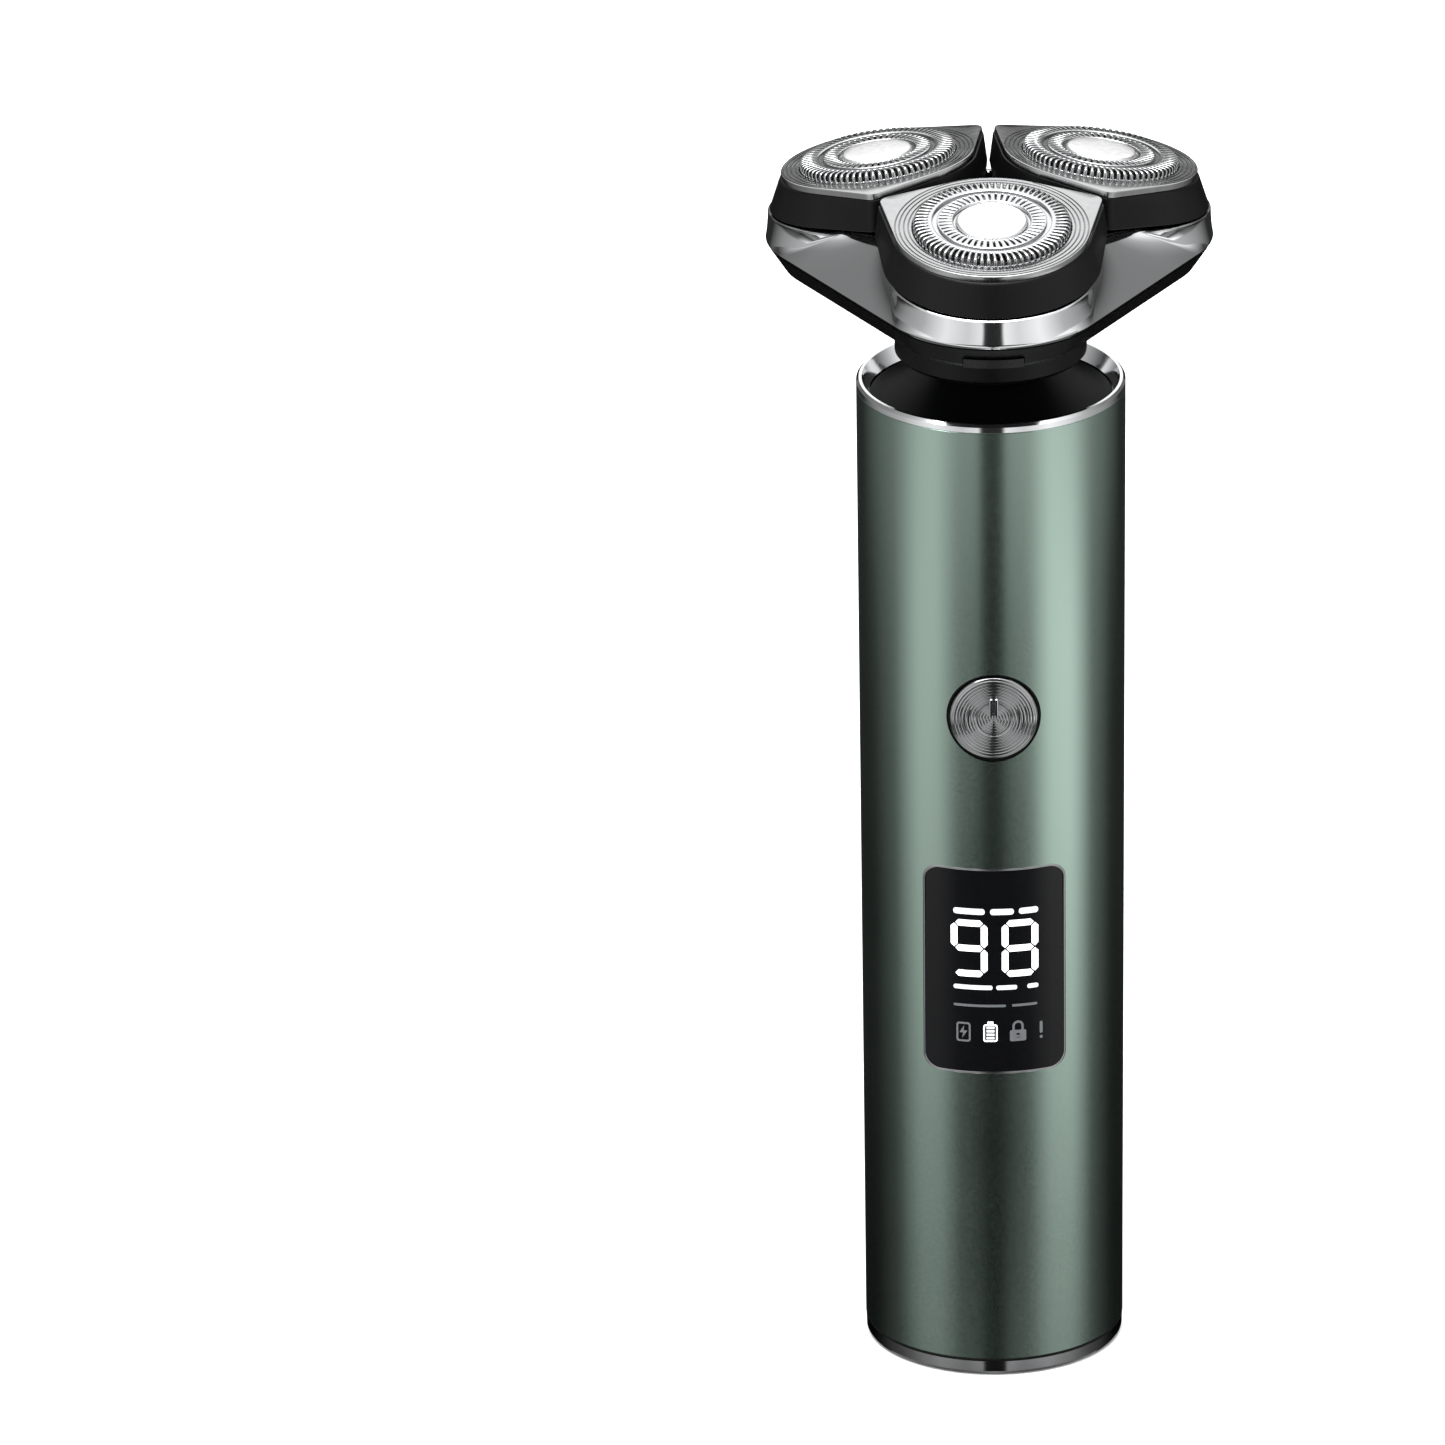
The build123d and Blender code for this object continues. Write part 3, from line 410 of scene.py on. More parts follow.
cap = {"profile": [(0.0001, 1.20), (2.2, 1.19), (3.6, 1.16), (4.35, 1.10), (4.60, 1.00), (4.68, 0.85),
                   (4.68, 0.62)]}


def makeCaps():
    capFinish = makeGrained("satin centre cap", colour=(0.93, 0.93, 0.93), roughness=0.36,
                            stretch=(1, 1, 1))
    for side in podAngles:
        points, faces = lathe(cap["profile"], 96, capLast=True)
        piece = addPiece(f"centre_cap_{side}", points, faces, capFinish, f"pod_{side}",
                         podPlace(side), 50)
        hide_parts(f"foil_cap_{side}")


makeCaps()

plate = {"thickness": 0.8, "bore": 10.58, "grooves": (11.05, 11.65, 12.25, 12.8), "width": 0.16,
         "depth": 0.16, "flare": 0.03, "corner": (13.3, -6.9, 1.4), "columns": 240, "margin": 0.2,
         # inset from the edge, height
         "edge": ((0.19, 0), (0.06, -0.05), (0.0, -0.18), (0.0, -0.8))}


def outlineReach(outline, count):
    # distance from the centre to the outline, at even turns
    turns = np.array([atan2(y, x) for x, y in outline])
    reach = np.array([hypot(x, y) for x, y in outline])
    order = np.argsort(turns)
    return np.interp([-pi + 2 * pi * k / count for k in range(count)], turns[order], reach[order],
                     period=2 * pi)


def plateOutline(radius, shift, corner):
    cornerX, cornerY, cornerRadius = corner
    return belt([(0, shift, radius), (-cornerX, cornerY, cornerRadius),
                 (0, shift, radius), (cornerX, cornerY, cornerRadius)])


def makePlates():
    look = plate
    count = look["columns"]
    turns = [-pi + 2 * pi * k / count for k in range(count)]
    edge = outlineReach(plateOutline(pod["plate"] - 0.02, 0, look["corner"]), count)
    half, deep, flare = look["width"] / 2, look["depth"], look["flare"]
    levels = [(look["bore"], -look["thickness"]), (look["bore"], -0.08), (look["bore"] + 0.08, 0)]
    for groove in look["grooves"]:
        levels += [(groove - half - flare, 0), (groove - half, -deep * 0.8), (groove, -deep),
                   (groove + half, -deep * 0.8), (groove + half + flare, 0)]
    for side in podAngles:
        rows = []
        for radius, height in levels:
            reach = [min(radius, e - look["margin"]) for e in edge]
            rows.append([(r * cos(a), r * sin(a), height) for r, a in zip(reach, turns)])
        for inset, height in look["edge"]:
            rows.append([((e - inset) * cos(a), (e - inset) * sin(a), height) for e, a in zip(edge, turns)])
        rows.append(rows[0])
        points, faces = grid(rows)
        piece = addPiece(f"grooved_plate_{side}", points, faces, finishes["plate_steel"], f"pod_{side}",
                         podPlace(side), 30)
        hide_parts(f"track_plate_{side}")


makePlates()

shell = {
    # belt radius, outward shift, corner x, corner y, corner radius, height
    "levels": [(12.75, 0.0, 12.9, -6.7, 1.3, -0.84), (13.0, 0.0, 13.2, -6.85, 1.4, -0.84),
               (13.25, 0.04, 13.42, -6.88, 1.45, -0.95), (13.38, 0.12, 13.5, -6.86, 1.45, -1.25),
               (13.74, 0.38, 13.68, -6.78, 1.42, -2.5), (14.12, 0.66, 13.86, -6.68, 1.4, -3.8),
               (14.42, 0.84, 13.96, -6.62, 1.4, -4.75), (14.5, 0.88, 13.98, -6.6, 1.4, -5.0),
               (14.42, 0.88, 13.9, -6.6, 1.4, -5.1), (13.1, 0.88, 13.1, -6.2, 1.1, -5.1),
               (12.4, 0.2, 12.5, -6.5, 1.1, -1.9), (12.75, 0.0, 12.9, -6.7, 1.3, -0.84)],
}


def makeShells():
    for side in podAngles:
        rows = [[(x, y, height) for x, y in plateOutline(radius, shift, (cx, cy, cr))]
                for radius, shift, cx, cy, cr, height in shell["levels"]]
        points, faces = grid(rows)
        piece = addPiece(f"pod_wall_{side}", points, faces, finishes["satin_black"], f"pod_{side}",
                         podPlace(side), 40)
        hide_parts(f"pod_shell_{side}")


lug = {"width": 4.2, "near": 9.43, "far": 13.83, "top": -3.1, "foot": -5.0, "pin": (10.73, -4.476),
       "bore": 0.76, "steps": 24}


def makeLugs():
    # block under each pod with the half-open bore that sits on the hinge pin
    look = lug
    y, z = look["pin"]
    dip = 90 - degrees(acos((z - look["foot"]) / look["bore"]))
    sweep = [radians(180 + dip - (180 + 2 * dip) * k / look["steps"])
             for k in range(look["steps"] + 1)]
    outline = [(look["near"], look["top"]), (look["near"], look["foot"])]
    outline += [(y + look["bore"] * cos(a), z + look["bore"] * sin(a)) for a in sweep]
    outline += [(look["far"], look["foot"]), (look["far"], look["top"])]
    for side in podAngles:
        rows = [[(x, py, pz) for py, pz in outline] for x in (-look["width"] / 2, look["width"] / 2)]
        points, faces = grid(rows, capFirst=True, capLast=True)
        piece = addPiece(f"pod_lug_{side}", points, faces, finishes["satin_black"], f"pod_{side}",
                         podPlace(side), 30)
        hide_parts(f"pod_shell_{side}")


makeShells()
makeLugs()
print("pods made")


frameShape = {"spread": 17.1, "radius": 15.0, "topRadius": 14.7, "waist": 16.5, "seam": 154.1,
              "foot": 154.86, "crest": 161.6, "rimZ": 159.93, "rimLean": 6.5, "wall": 0.98, "samples": 44,
              "steps": 16, "guess": 0.8, "rounds": 12, "rounding": (0.16, 0.14), "rimEdges": (0.15, 0.85),
              # inset, height above the seam
              "lip": ((0.55, 0.0), (0.28, 0.34), (0.05, 0.62)), "innerParts": (0.75, 0.5, 0.25, 0.0)}


def lobed(radius, z, pinch, waist):
    # lobes joined by flanks; pinch 0 is the straight-sided belt, 1 the three-leaved outline
    look = frameShape
    half = look["spread"] * sin(radians(60))
    inset = waist - look["spread"] * cos(radians(60))
    hollow = (half ** 2 + inset ** 2 - radius ** 2) / (2 * (radius - inset))
    reach = 60 + degrees(atan2(half, inset + hollow)) * pinch
    fullReach = 60 + degrees(atan2(half, inset + hollow))
    count = look["samples"]
    outline = []
    for turn in (30, 150, 270):
        centre = (look["spread"] * cos(radians(turn)), look["spread"] * sin(radians(turn)))
        for k in range(count):
            a = radians(turn - reach + 2 * reach * k / count)
            outline.append((centre[0] + radius * cos(a), centre[1] + radius * sin(a)))
        # flank: straight when pinch is 0, a hollow arc when it is 1
        mid = radians(turn + 60)
        far = (look["spread"] * cos(radians(turn + 120)), look["spread"] * sin(radians(turn + 120)))
        leave, arrive = radians(turn + reach), radians(turn + 120 - reach)
        start = (centre[0] + radius * cos(leave), centre[1] + radius * sin(leave))
        end = (far[0] + radius * cos(arrive), far[1] + radius * sin(arrive))
        core = ((waist + hollow) * cos(mid), (waist + hollow) * sin(mid))
        for k in range(count):
            share = k / count
            line = [start[i] + (end[i] - start[i]) * share for i in (0, 1)]
            a = radians(turn + fullReach + 180 + (120 - 2 * fullReach) * share)
            arc = (core[0] + hollow * cos(a), core[1] + hollow * sin(a))
            outline.append(tuple(line[i] * (1 - pinch) + arc[i] * pinch for i in (0, 1)))
    return [(x, y, z) for x, y in outline]


def rimShares(low, high):
    # how far up each column of the wall the sloping rim cuts it
    look = frameShape
    shares = []
    for a, b in zip(low, high):
        share = look["guess"]
        for _ in range(look["rounds"]):
            x, y = (a[i] + (b[i] - a[i]) * share for i in (0, 1))
            reach = max(x * cos(radians(t)) + y * sin(radians(t)) for t in podAngles.values())
            rim = look["rimZ"] - tan(radians(look["rimLean"])) * (reach - look["spread"])
            share = (rim - look["foot"]) / (look["crest"] - look["foot"])
        shares.append(share)
    return shares


def wallRow(low, high, shares, part, drop=0.0):
    foot, crest = frameShape["foot"], frameShape["crest"]
    row = []
    for a, b, top in zip(low, high, shares):
        share = top * part
        row.append((a[0] + (b[0] - a[0]) * share, a[1] + (b[1] - a[1]) * share,
                    foot + (crest - foot) * share - drop))
    return row


def between(first, second, share):
    return [tuple(a[i] + (b[i] - a[i]) * share for i in range(3)) for a, b in zip(first, second)]


def makeFrame():
    look = frameShape
    r, top, waist = look["radius"], look["topRadius"], look["waist"]
    seam, wall, steps = look["seam"], look["wall"], look["steps"]
    outerDrop, innerDrop = look["rounding"]
    low, high = lobed(r, 0, 0, waist), lobed(top, 0, 1, waist)
    innerLow, innerHigh = lobed(r - wall, 0, 0, waist), lobed(top - wall, 0, 1, waist - wall)
    shares, innerShares = rimShares(low, high), rimShares(innerLow, innerHigh)
    rows = [lobed(r - inset, seam + lift, 0, waist) for inset, lift in look["lip"]]
    rows += [wallRow(low, high, shares, k / steps) for k in range(steps)]
    rows.append(wallRow(low, high, shares, 1, outerDrop))
    outer, inner = wallRow(low, high, shares, 1), wallRow(innerLow, innerHigh, innerShares, 1)
    rows += [between(outer, inner, share) for share in look["rimEdges"]]
    rows.append(wallRow(innerLow, innerHigh, innerShares, 1, innerDrop))
    rows += [wallRow(innerLow, innerHigh, innerShares, part) for part in look["innerParts"]]
    rows.append([(x, y, seam) for x, y, _ in innerLow])
    rows.append(rows[0])
    points, faces = grid(rows)
    piece = addPiece("chrome_frame", points, faces, finishes["bright_chrome"], "head_cup",
                     angle=45)
    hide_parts("head_frame")
    print("chrome frame made")


makeFrame()

tube = {"footRadius": 17.35, "topRadius": 17.95, "footZ": 2.4, "topZ": 136.9, "bore": 16.2,
        "buttonZ": 96.0, "buttonWell": 6.3, "displayZ": 59.3, "display": (18.6, 29.4), "corner": 2.0,
        "chamfer": 0.12, "recess": (16.95, 134.4), "segments": 256, "rings": 40, "cutter": (-22, -8),
        "wellSegments": 96, "skin": 16.6}


def roundedRectangle(width, height, radius, centre=(0, 0), samples=10):
    outline = []
    for turn, sx, sy in ((0, 1, 1), (90, -1, 1), (180, -1, -1), (270, 1, -1)):
        for k in range(samples + 1):
            a = radians(turn + 90 * k / samples)
            outline.append((centre[0] + sx * (width / 2 - radius) + radius * cos(a),
                            centre[1] + sy * (height / 2 - radius) + radius * sin(a)))
    return outline


def tubeRadius(z):
    look = tube
    return look["footRadius"] + (look["topRadius"] - look["footRadius"]) * (z - look["footZ"]) / (
        look["topZ"] - look["footZ"])


def prism(name, outline, front, back):
    # upright prism over an outline in x and z
    rows = [[(x, y, z) for x, z in outline] for y in (front, back)]
    points, faces = grid(rows, capFirst=True, capLast=True)
    mesh = bpy.data.meshes.new(name)
    mesh.from_pydata([tuple(c * mm for c in p) for p in points], [], faces)
    build = bmesh.new()
    build.from_mesh(mesh)
    bmesh.ops.recalc_face_normals(build, faces=build.faces)
    build.to_mesh(mesh)
    build.free()
    piece = bpy.data.objects.new(name, mesh)
    bpy.context.scene.collection.objects.link(piece)
    return piece


def makeTube():
    look = tube
    bevel = look["chamfer"]
    low, high, rings = look["footZ"] + bevel, look["topZ"] - bevel, look["rings"]
    heights = [low + (high - low) * k / rings for k in range(rings + 1)]
    recessRadius, recessZ = look["recess"]  # the collar sits in it
    profile = [(look["bore"], look["footZ"]), (look["footRadius"] - bevel, look["footZ"])]
    profile += [(tubeRadius(z), z) for z in heights]
    profile += [(look["topRadius"] - bevel, look["topZ"]), (recessRadius, look["topZ"]),
                (recessRadius, recessZ), (look["bore"], recessZ), (look["bore"], look["footZ"])]
    points, faces = lathe(profile, look["segments"])
    piece = addPiece("green_tube", points, faces, finishes["body_green"], "handle", angle=30)
    width, height = look["display"]
    well = [2 * pi * k / look["wellSegments"] for k in range(look["wellSegments"])]
    circle = [(look["buttonWell"] * cos(a), look["buttonZ"] + look["buttonWell"] * sin(a)) for a in well]
    window = roundedRectangle(width, height, look["corner"], (0, look["displayZ"]))
    cutters = [prism("wellCutter", circle, *look["cutter"]), prism("windowCutter", window, *look["cutter"])]
    for cutter in cutters:
        cut = piece.modifiers.new("opening", "BOOLEAN")
        cut.operation, cut.object, cut.solver = "DIFFERENCE", cutter, "EXACT"
    bpy.context.view_layer.update()
    cleaned = bpy.data.meshes.new_from_object(piece.evaluated_get(bpy.context.evaluated_depsgraph_get()))
    piece.modifiers.clear()
    piece.data = cleaned
    for cutter in cutters:
        bpy.data.objects.remove(cutter)
    # the skin's own normals, so the long faces beside the openings shade as one cylinder
    lean = atan2(look["topRadius"] - look["footRadius"], look["topZ"] - look["footZ"])
    normals = [tuple(corner.vector) for corner in cleaned.corner_normals]
    for face in cleaned.polygons:
        centre = face.center
        outward = Vector((centre.x, centre.y, 0)).normalized()
        if hypot(centre.x, centre.y) > look["skin"] * mm and abs(face.normal.dot(outward)) > 0.9:
            for corner in face.loop_indices:
                point = cleaned.vertices[cleaned.loops[corner].vertex_index].co
                flat = Vector((point.x, point.y, 0)).normalized()
                normals[corner] = (flat.x * cos(lean), flat.y * cos(lean), -sin(lean))
    cleaned.normals_split_custom_set(normals)
    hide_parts("body_tube")
    print("tube made")


makeTube()

button = {"z": 96.0, "faceY": -18.0, "barWidth": 0.42, "barGap": 0.28,
          "barLow": 0.2, "barHigh": 2.9, "segments": 160, "arcs": (3.4, 3.95, 4.5), "arcSpan": 24,
          "arcSteps": 14, "colour": (0.36, 0.365, 0.37), "roughness": 0.12, "pitch": 0.40,
          "ringDepth": 1.0, "ringHeight": 0.000035,
          # growth of the outline, height above the face
          "barLevels": ((0.0, -0.2), (0.0, 0.08), (-0.09, 0.17)),
          "arcSection": ((-0.09, -0.1), (-0.07, 0.03), (0.07, 0.03), (0.09, -0.1)),
          # radius, height above the face
          "profile": [(0.0001, 0.0), (1.4, 0.0), (2.18, -0.01), (2.26, -0.10), (2.52, -0.10), (2.60, -0.01),
                      (4.0, -0.015), (5.36, -0.03), (5.44, -0.06), (5.58, -0.12), (5.86, -0.38),
                      (5.9, -0.55), (5.9, -2.9), (0.0001, -2.9)]}


def makeButton():
    look = button
    place = Matrix.Translation((0, look["faceY"] * mm, look["z"] * mm))
    place = place @ Matrix.Rotation(radians(90), 4, "X")
    points, faces = lathe(look["profile"], look["segments"])
    face = makeRinged("spun dark chrome", colour=look["colour"], roughness=look["roughness"],
                      pitch=look["pitch"], depth=look["ringDepth"], height=look["ringHeight"])
    piece = addPiece("spun_button", points, faces, face, "button", place, 28)
    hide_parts("power_button")
    half = look["barWidth"] / 2
    low, high = look["barLow"], look["barHigh"]
    rows = []
    for grow, height in look["barLevels"]:
        outline = roundedRectangle(2 * (half + grow), high - low + 2 * grow, half + grow - 0.01,
                                   (0, (low + high) / 2))
        rows.append([(x, y, height) for x, y in outline])
    for mark, side in (("left", -1), ("right", 1)):
        moved = [[(x + side * (half + look["barGap"] / 2), y, z) for x, y, z in row] for row in rows]
        points, faces = grid(moved, capFirst=True, capLast=True)
        addPiece(f"power_bar_{mark}", points, faces, finishes["bright_chrome"], "button",
                 place, 30)
    # three short raised arcs on each side
    for mark, middle in (("left", 180), ("right", 0)):
        for index, reach in enumerate(look["arcs"]):
            rows = []
            for step in range(look["arcSteps"] + 1):
                a = radians(middle - look["arcSpan"] + 2 * look["arcSpan"] * step / look["arcSteps"])
                rows.append([((reach + dx) * cos(a), (reach + dx) * sin(a), height)
                             for dx, height in look["arcSection"]])
            points, faces = grid(rows, capFirst=True, capLast=True)
            addPiece(f"button_arc_{mark}_{index}", points, faces, finishes["bright_chrome"], "button",
                     place, 30)
    print("button made")


makeButton()

display = {"z": 59.3, "lift": 0.05, "sunk": 0.1, "digitHeight": 8.2, "digitWidth": 4.9, "stroke": 0.90,
           "gap": 0.13, "taper": 0.55, "digitGap": 6.8, "digitZ": 3.3, "iconZ": -8.8,
           "slice": 0.5, "slices": 16}
segments = {9: "abcdfg", 8: "abcdefg"}


def wrapFlat(name, outline, material, holes=()):
    # a flat graphic in x and z, laid on the curved window
    look = display
    build = bmesh.new()
    edges = []
    for loop in (outline, *holes):
        ring = [build.verts.new((x, z, 0)) for x, z in loop]
        edges += [build.edges.new((a, b)) for a, b in zip(ring, ring[1:] + ring[:1])]
    bmesh.ops.triangle_fill(build, use_beauty=True, use_dissolve=False, edges=edges)
    for k in range(-look["slices"], look["slices"] + 1):
        bmesh.ops.bisect_plane(build, geom=build.verts[:] + build.edges[:] + build.faces[:],
                               plane_co=(k * look["slice"], 0, 0), plane_no=(1, 0, 0))
    outer = bmesh.ops.extrude_face_region(build, geom=build.faces[:])["geom"]
    for v in outer:
        if isinstance(v, bmesh.types.BMVert):
            v.co.z = 1
    for v in build.verts:
        x, z = v.co.x, v.co.y + look["z"]
        reach = tubeRadius(look["z"]) + (look["lift"] if v.co.z > 0.5 else -look["sunk"])
        v.co = Vector((x, -(reach ** 2 - x ** 2) ** 0.5, z)) * mm
    bmesh.ops.recalc_face_normals(build, faces=build.faces)
    mesh = bpy.data.meshes.new(name)
    build.to_mesh(mesh)
    build.free()
    mesh.materials.append(material)
    piece = bpy.data.objects.new(name, mesh)
    bpy.context.scene.collection.objects.link(piece)
    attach(piece, "handle")
    return piece


bead = {"corner": 14, "parts": 6,
        # growth of the outline, lift off the tube
        "section": ((-0.10, -0.12), (-0.08, 0.02), (0.0, 0.07), (0.12, 0.07), (0.22, 0.02),
                    (0.24, -0.12), (-0.10, -0.12))}


def makeBead():
    # fine raised lip round the display window
    width, height = tube["display"]
    shares = [k / bead["parts"] for k in range(bead["parts"])]
    rows = []
    for grow, lift in bead["section"]:
        outline = roundedRectangle(width + 2 * grow, height + 2 * grow, tube["corner"] + grow,
                                   (0, tube["displayZ"]), bead["corner"])
        row = []
        for (x, z), (nextX, nextZ) in zip(outline, outline[1:] + outline[:1]):
            for share in shares:
                px, pz = x + (nextX - x) * share, z + (nextZ - z) * share
                row.append((px, -((tubeRadius(pz) + lift) ** 2 - px ** 2) ** 0.5, pz))
        rows.append(row)
    points, faces = grid(rows)
    addPiece("window_bead", points, faces, finishes["spun_chrome"], "handle", angle=40)


def segmentOutlines(width, height, stroke):
    # seven-segment digit, each bar with pointed ends
    w, h, s, gap = width / 2, height / 2, stroke, display["gap"]
    tip = s * display["taper"]

    def across(z):
        return [(-w + tip + gap, z), (-w + s + gap, z + s / 2), (w - s - gap, z + s / 2),
                (w - tip - gap, z), (w - s - gap, z - s / 2), (-w + s + gap, z - s / 2)]

    def upright(x, low, high):
        return [(x, low + gap), (x + s / 2, low + s / 2 + gap), (x + s / 2, high - s / 2 - gap),
                (x, high - gap), (x - s / 2, high - s / 2 - gap), (x - s / 2, low + s / 2 + gap)]

    return {"a": across(h - s / 2), "g": across(0), "d": across(-h + s / 2),
            "f": upright(-w + s / 2, 0, h - s / 2), "b": upright(w - s / 2, 0, h - s / 2),
            "e": upright(-w + s / 2, -h + s / 2, 0), "c": upright(w - s / 2, -h + s / 2, 0)}


def shifted(outline, x, z):
    return [(px + x, pz + z) for px, pz in outline]


def makeDisplay():
    look = display
    white = makeGlow("display white", (0.95, 0.97, 1.0), 1.0)
    dim = makeGlow("display dim", (0.13, 0.14, 0.145), 0.06)
    soft = makeGlow("display soft", (0.7, 0.74, 0.76), 0.45)
    bars = segmentOutlines(look["digitWidth"], look["digitHeight"], look["stroke"])
    for place, digit in ((-0.5, 9), (0.5, 8)):
        for letter in segments[digit]:
            bar = shifted(bars[letter], place * look["digitGap"], look["digitZ"])
            wrapFlat(f"digit_{digit}_{letter}", bar, white)
    # plain bars stand where captions go: centre x and z, width, height
    captions = [("caption_top", -3.4, 8.65, 4.2, 0.85, soft), ("caption_top_b", 1.0, 8.65, 3.2, 0.85, soft),
                ("caption_top_c", 4.55, 8.65, 2.6, 0.85, soft),
                ("caption_mid", -2.9, -2.35, 5.2, 0.62, soft),
                ("caption_mid_b", 1.6, -2.35, 2.8, 0.62, soft),
                ("caption_mid_c", 5.1, -2.35, 1.5, 0.62, soft),
                ("caption_low", -2.0, -5.0, 7.0, 0.34, dim), ("caption_low_b", 4.0, -5.0, 3.4, 0.34, dim)]
    for name, x, z, width, height, glow in captions:
        wrapFlat(name, roundedRectangle(width, height, height * 0.45, (x, z), 4), glow)
    z = look["iconZ"]
    wrapFlat("icon_charge", roundedRectangle(1.9, 2.8, 0.4, (-4.2, z - 0.1), 5), dim,
             [roundedRectangle(1.4, 2.3, 0.2, (-4.2, z - 0.1), 4)[::-1]])
    bolt = [(-4.1, z + 0.85), (-4.75, z - 0.2), (-4.25, z - 0.2), (-4.4, z - 1.0), (-3.7, z + 0.1),
            (-4.2, z + 0.1)]
    wrapFlat("icon_bolt", bolt[::-1], dim)
    wrapFlat("icon_battery", roundedRectangle(1.9, 2.5, 0.3, (-0.6, z - 0.15), 4), white,
             [roundedRectangle(1.5, 2.1, 0.15, (-0.6, z - 0.15), 4)[::-1]])
    wrapFlat("icon_battery_tip", roundedRectangle(0.8, 0.35, 0.1, (-0.6, z + 1.35), 3), white)
    for k in range(4):
        level = roundedRectangle(1.1, 0.32, 0.08, (-0.6, z - 0.88 + 0.5 * k), 3)
        wrapFlat(f"icon_battery_level_{k}", level, soft)
    wrapFlat("icon_lock", roundedRectangle(2.2, 1.6, 0.25, (3.1, z - 0.6), 4), dim,
             [roundedRectangle(0.5, 0.7, 0.2, (3.1, z - 0.6), 4)[::-1]])
    wrapFlat("icon_lock_bow", roundedRectangle(1.5, 2.4, 0.74, (3.1, z + 0.35), 8), dim,
             [roundedRectangle(0.9, 1.8, 0.44, (3.1, z + 0.35), 8)[::-1]])
    wrapFlat("icon_alert", roundedRectangle(0.4, 1.7, 0.18, (6.2, z + 0.25), 4), dim)
    wrapFlat("icon_alert_dot", roundedRectangle(0.4, 0.4, 0.18, (6.2, z - 1.15), 4), dim)
    makeBead()
    print("display made")


makeDisplay()

studio = {"floor": 8.0, "backLight": 2.0, "strip": 1.15, "fill": 0.05, "haze": 0.27, "top": 3.4,
          "floorSteps": 8, "bandRise": (0.26, 0.44), "topRise": (0.80, 0.97),
          "keySize": 1.6, "keyPlace": (-0.3, -0.3, 2.0), "keyTilt": -8, "keyPower": 46}
view = {"sensor": 36, "elevation": 22.5, "distance": 3.0, "across": 0.1935, "aim": (-0.0361, 0.0, 0.0884),
        "roll": -0.5}


def makeFloor():
    half = studio["floor"] / 2
    steps = studio["floorSteps"]
    points = [((-half + 2 * half * i / steps) / mm, (-half + 2 * half * j / steps) / mm, 0)
              for j in range(steps + 1) for i in range(steps + 1)]
    width = steps + 1
    faces = [(j * width + i, j * width + i + 1, (j + 1) * width + i + 1, (j + 1) * width + i)
             for j in range(steps) for i in range(steps)]
    mesh = bpy.data.meshes.new("floor")
    mesh.from_pydata([tuple(c * mm for c in p) for p in points], [], faces)
    floor = bpy.data.objects.new("floor", mesh)
    bpy.context.scene.collection.objects.link(floor)
    paper = Finish("pale paper", Roughness=0.9, Specular_IOR_Level=0.1)
    fibre = paper.noise(300, 3.0)
    paper.feed("Base Color", paper.blend(fibre, (0.90, 0.90, 0.90, 1), (0.93, 0.93, 0.93, 1)))
    # seen from underneath the table is clear
    facing = paper.add("ShaderNodeNewGeometry", {}, output="Backfacing")
    clear = paper.add("ShaderNodeBsdfTransparent", {})
    sheet = paper.add("ShaderNodeMixShader", {}, facing, Socket(paper, paper.shader.outputs[0]), clear)
    paper.links.new(sheet.socket, paper.nodes["Material Output"].inputs["Surface"])
    mesh.materials.append(paper.material)
    floor.visible_glossy = False


def grey(value):
    return (value, value, value, 1)


def bandRamp(maker, point, stops):
    # brightness by compass angle: 0 towards the viewer, positive to the right
    x, y, z = maker.axes(point)
    share = x.math("ARCTAN2", x, y * -1) / (2 * pi) + 0.5
    ramp = [(angle / 360 + 0.5, grey(value)) for angle, value in stops]
    return maker.add("ShaderNodeValToRGB", {"stops": ramp}, share), z


def makeWorld():
    # a dark studio with upright light bands left and right and a bright upper back
    look = studio
    world = bpy.data.worlds.new("studio")
    bpy.context.scene.world = world
    world.use_nodes = True
    tree = world.node_tree
    maker = Finish.__new__(Finish)
    maker.nodes, maker.links = tree.nodes, tree.links
    s, b, f = look["strip"], look["backLight"], look["fill"]
    g = look["haze"]
    front = [(-92, s * 0.45), (-70, s), (-46, s), (-22, s * 0.8), (-9.5, s * 0.55), (-8, f), (8, f),
             (9.5, s * 0.55), (26, s * 0.6), (50, s * 0.95), (86, s), (104, s * 0.45)]
    upper = [(-180, b), (-160, b), (-150, b * 0.4), (-136, g * 0.8), (-112, g), *front, (120, g),
             (138, g * 0.8), (150, b * 0.4), (160, b), (180, b)]
    lower = [(-180, g), (-150, g * 0.6), (-120, f), *front, (124, f), (150, g * 0.6), (180, g)]
    direction = maker.add("ShaderNodeTexCoord", {}, output="Generated")
    high, z = bandRamp(maker, direction, upper)
    low, z = bandRamp(maker, direction, lower)
    lift = maker.add("ShaderNodeMapRange", {}, z, *look["bandRise"], 0.0, 1.0)
    band = maker.blend(lift, low, high)
    height = maker.add("ShaderNodeMapRange", {}, z, *look["topRise"], 0.0, 1.0)
    sky = maker.add("ShaderNodeMix", {"data_type": "RGBA"}, output=2,
                    sockets={0: height, 6: band, 7: grey(look["top"])})
    background = tree.nodes["Background"]
    tree.links.new(sky.socket, background.inputs["Color"])
    background.inputs["Strength"].default_value = 1.0


tent = {"radius": 0.6, "low": -0.5, "high": 0.16, "left": 1.5, "right": 2.35, "noseLeft": 1.0,
        "noseRight": 1.1, "fill": 0.026, "fadeLow": -0.28, "fadeHigh": -0.11, "fadeTo": 0.03,
        "split": (-0.13, -0.10),
        "hem": (-0.48, -0.40, -0.33, -0.28), "hemShare": 0.42}


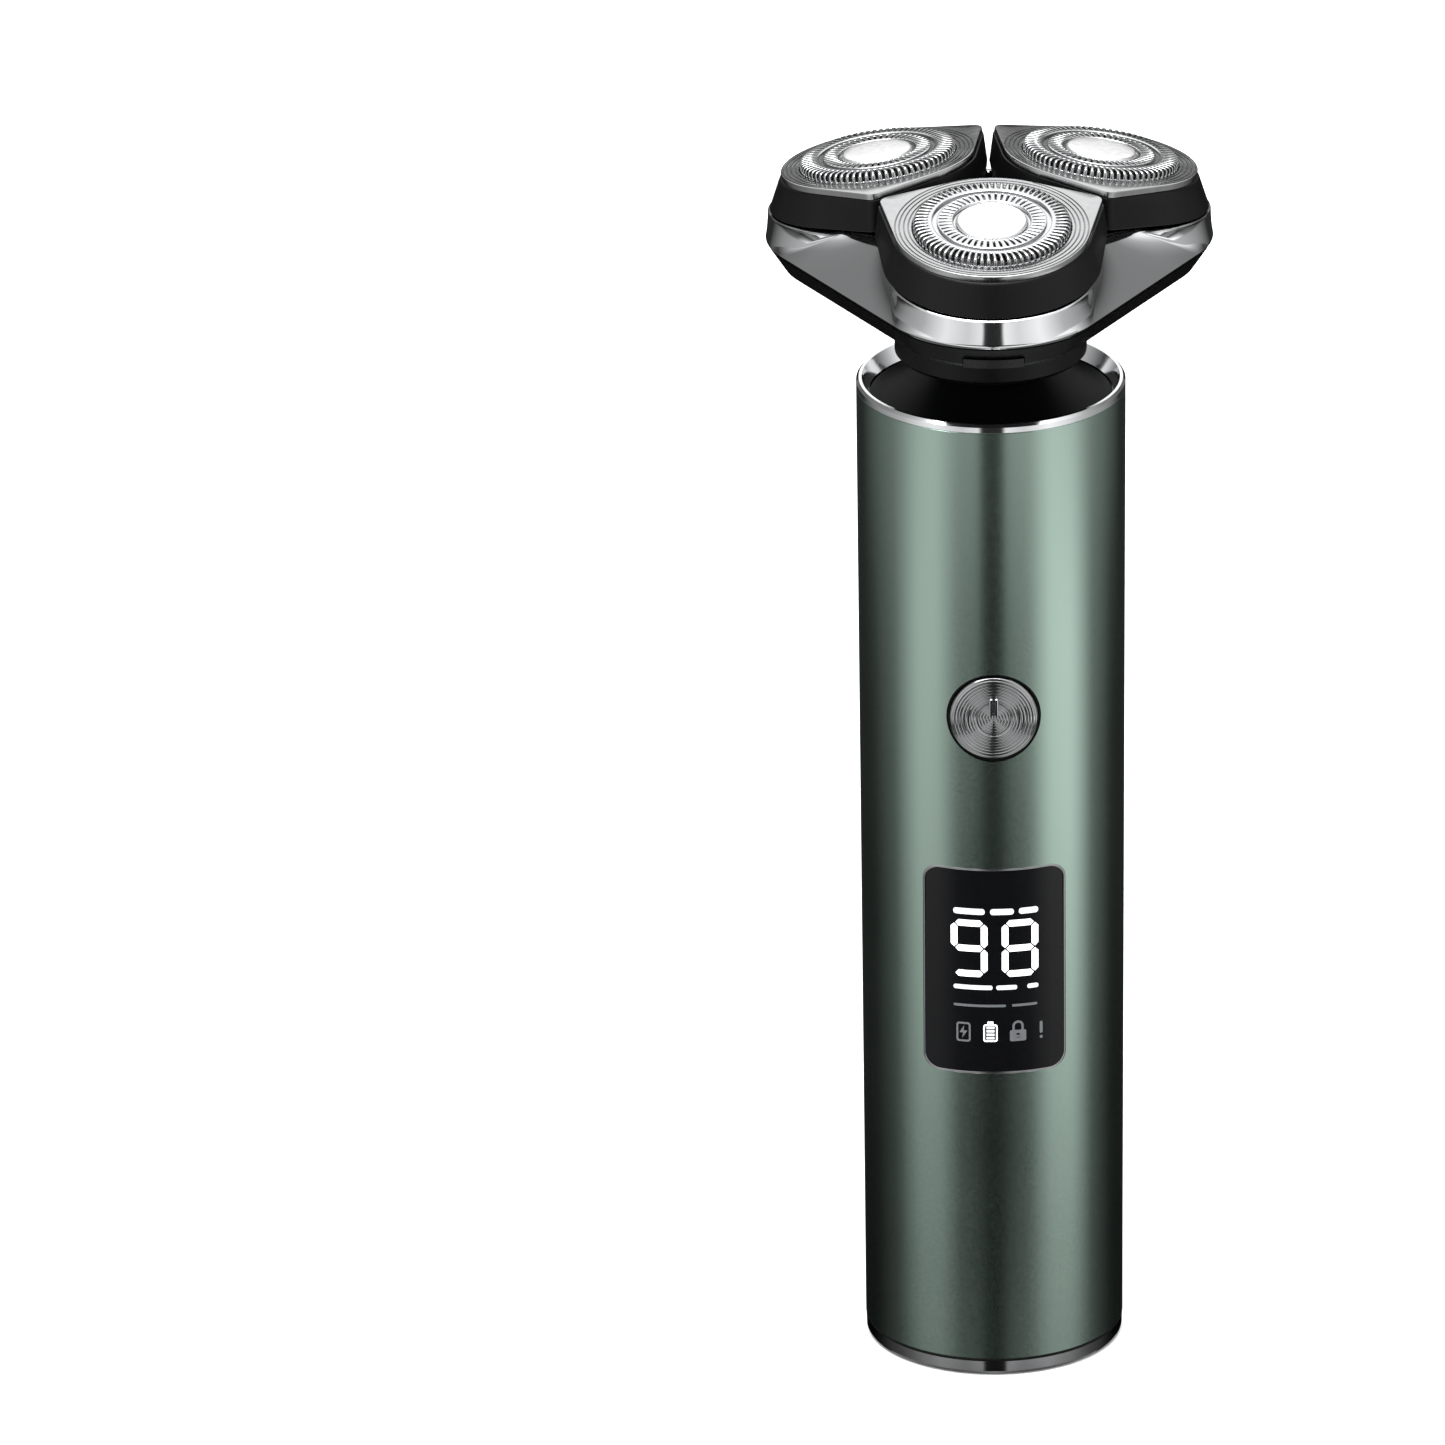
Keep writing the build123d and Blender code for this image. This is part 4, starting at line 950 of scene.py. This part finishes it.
def makeTent():
    # a dim ring of upright cards, seen only in reflections; it darkens towards the table
    look = tent
    reach = look["radius"] / mm
    points, faces = lathe([(reach, look["low"] / mm), (reach, look["high"] / mm)], 96)
    mesh = bpy.data.meshes.new("card ring")
    mesh.from_pydata([tuple(c * mm for c in point) for point in points], [], faces)
    ring = bpy.data.objects.new("card ring", mesh)
    bpy.context.scene.collection.objects.link(ring)
    card = Finish("card light", Roughness=1.0, Specular_IOR_Level=0.0)
    left, right, f = look["left"], look["right"], look["fill"]
    a, c = look["noseLeft"], look["noseRight"]
    satin = [(-180, f), (-122, f), (-92, left * 0.15), (-67, left), (-48, left * 0.92), (-31, left * 0.16),
             (-15, f), (15, f), (32, right * 0.16), (50, right * 0.88), (72, right), (94, right * 0.15),
             (122, f), (180, f)]
    sharp = [(-180, f), (-140, f), (-112, a * 0.3), (-80, a * 0.5), (-50, a), (-26, a * 0.75), (-10.5, a),
             (-9.5, f), (9.5, f), (10.5, c), (26, c * 0.75), (50, c), (80, c * 0.5), (112, c * 0.3),
             (140, f), (180, f)]
    low, z = bandRamp(card, card.place(), satin)
    high, z = bandRamp(card, card.place(), sharp)
    rise = card.add("ShaderNodeMapRange", {}, z, *look["split"], 0.0, 1.0)
    fade = card.add("ShaderNodeMapRange", {}, z, look["fadeLow"], look["fadeHigh"], look["fadeTo"], 1.0)
    # a thin bright hem low down lights the ring at the foot
    start, full, ease, stop = look["hem"]
    hem = card.add("ShaderNodeMapRange", {}, z, start, full, 0.0, 1.0) * card.add(
        "ShaderNodeMapRange", {}, z, ease, stop, 1.0, 0.0)
    body = card.blend(fade, (0, 0, 0, 1), card.blend(rise, low, high))
    card.feed("Emission Color", card.blend(hem * look["hemShare"], body, high))
    card.shader.inputs["Emission Strength"].default_value = 1.0
    card.shader.inputs["Base Color"].default_value = (0, 0, 0, 1)
    card.material.cycles.emission_sampling = "NONE"
    mesh.materials.append(card.material)
    ring.visible_camera = ring.visible_diffuse = ring.visible_shadow = ring.visible_transmission = False


def makeKey():
    lamp = bpy.data.lights.new("overhead", "AREA")
    lamp.size, lamp.energy = studio["keySize"], studio["keyPower"]
    key = bpy.data.objects.new("overhead", lamp)
    bpy.context.scene.collection.objects.link(key)
    key.location = studio["keyPlace"]
    key.rotation_euler = (radians(studio["keyTilt"]), radians(studio["keyTilt"]), 0)


def makeCamera():
    look = view
    sensor = bpy.data.cameras.new("camera")
    sensor.sensor_width = look["sensor"]
    sensor.lens = look["sensor"] * look["distance"] / look["across"]
    sensor.clip_start, sensor.clip_end = 0.05, 50
    camera = bpy.data.objects.new("camera", sensor)
    bpy.context.scene.collection.objects.link(camera)
    lift = radians(look["elevation"])
    back = Vector((0, -cos(lift), sin(lift)))
    camera.location = Vector(look["aim"]) + back * look["distance"]
    aimed = (-back).to_track_quat("-Z", "Y").to_matrix().to_4x4()
    camera.rotation_euler = (aimed @ Matrix.Rotation(radians(look["roll"]), 4, "Z")).to_euler()
    bpy.context.scene.camera = camera


makeFloor()
makeWorld()
makeTent()
makeKey()
makeCamera()
bpy.context.scene.view_settings.view_transform = "Standard"
print("stage, light and camera made")
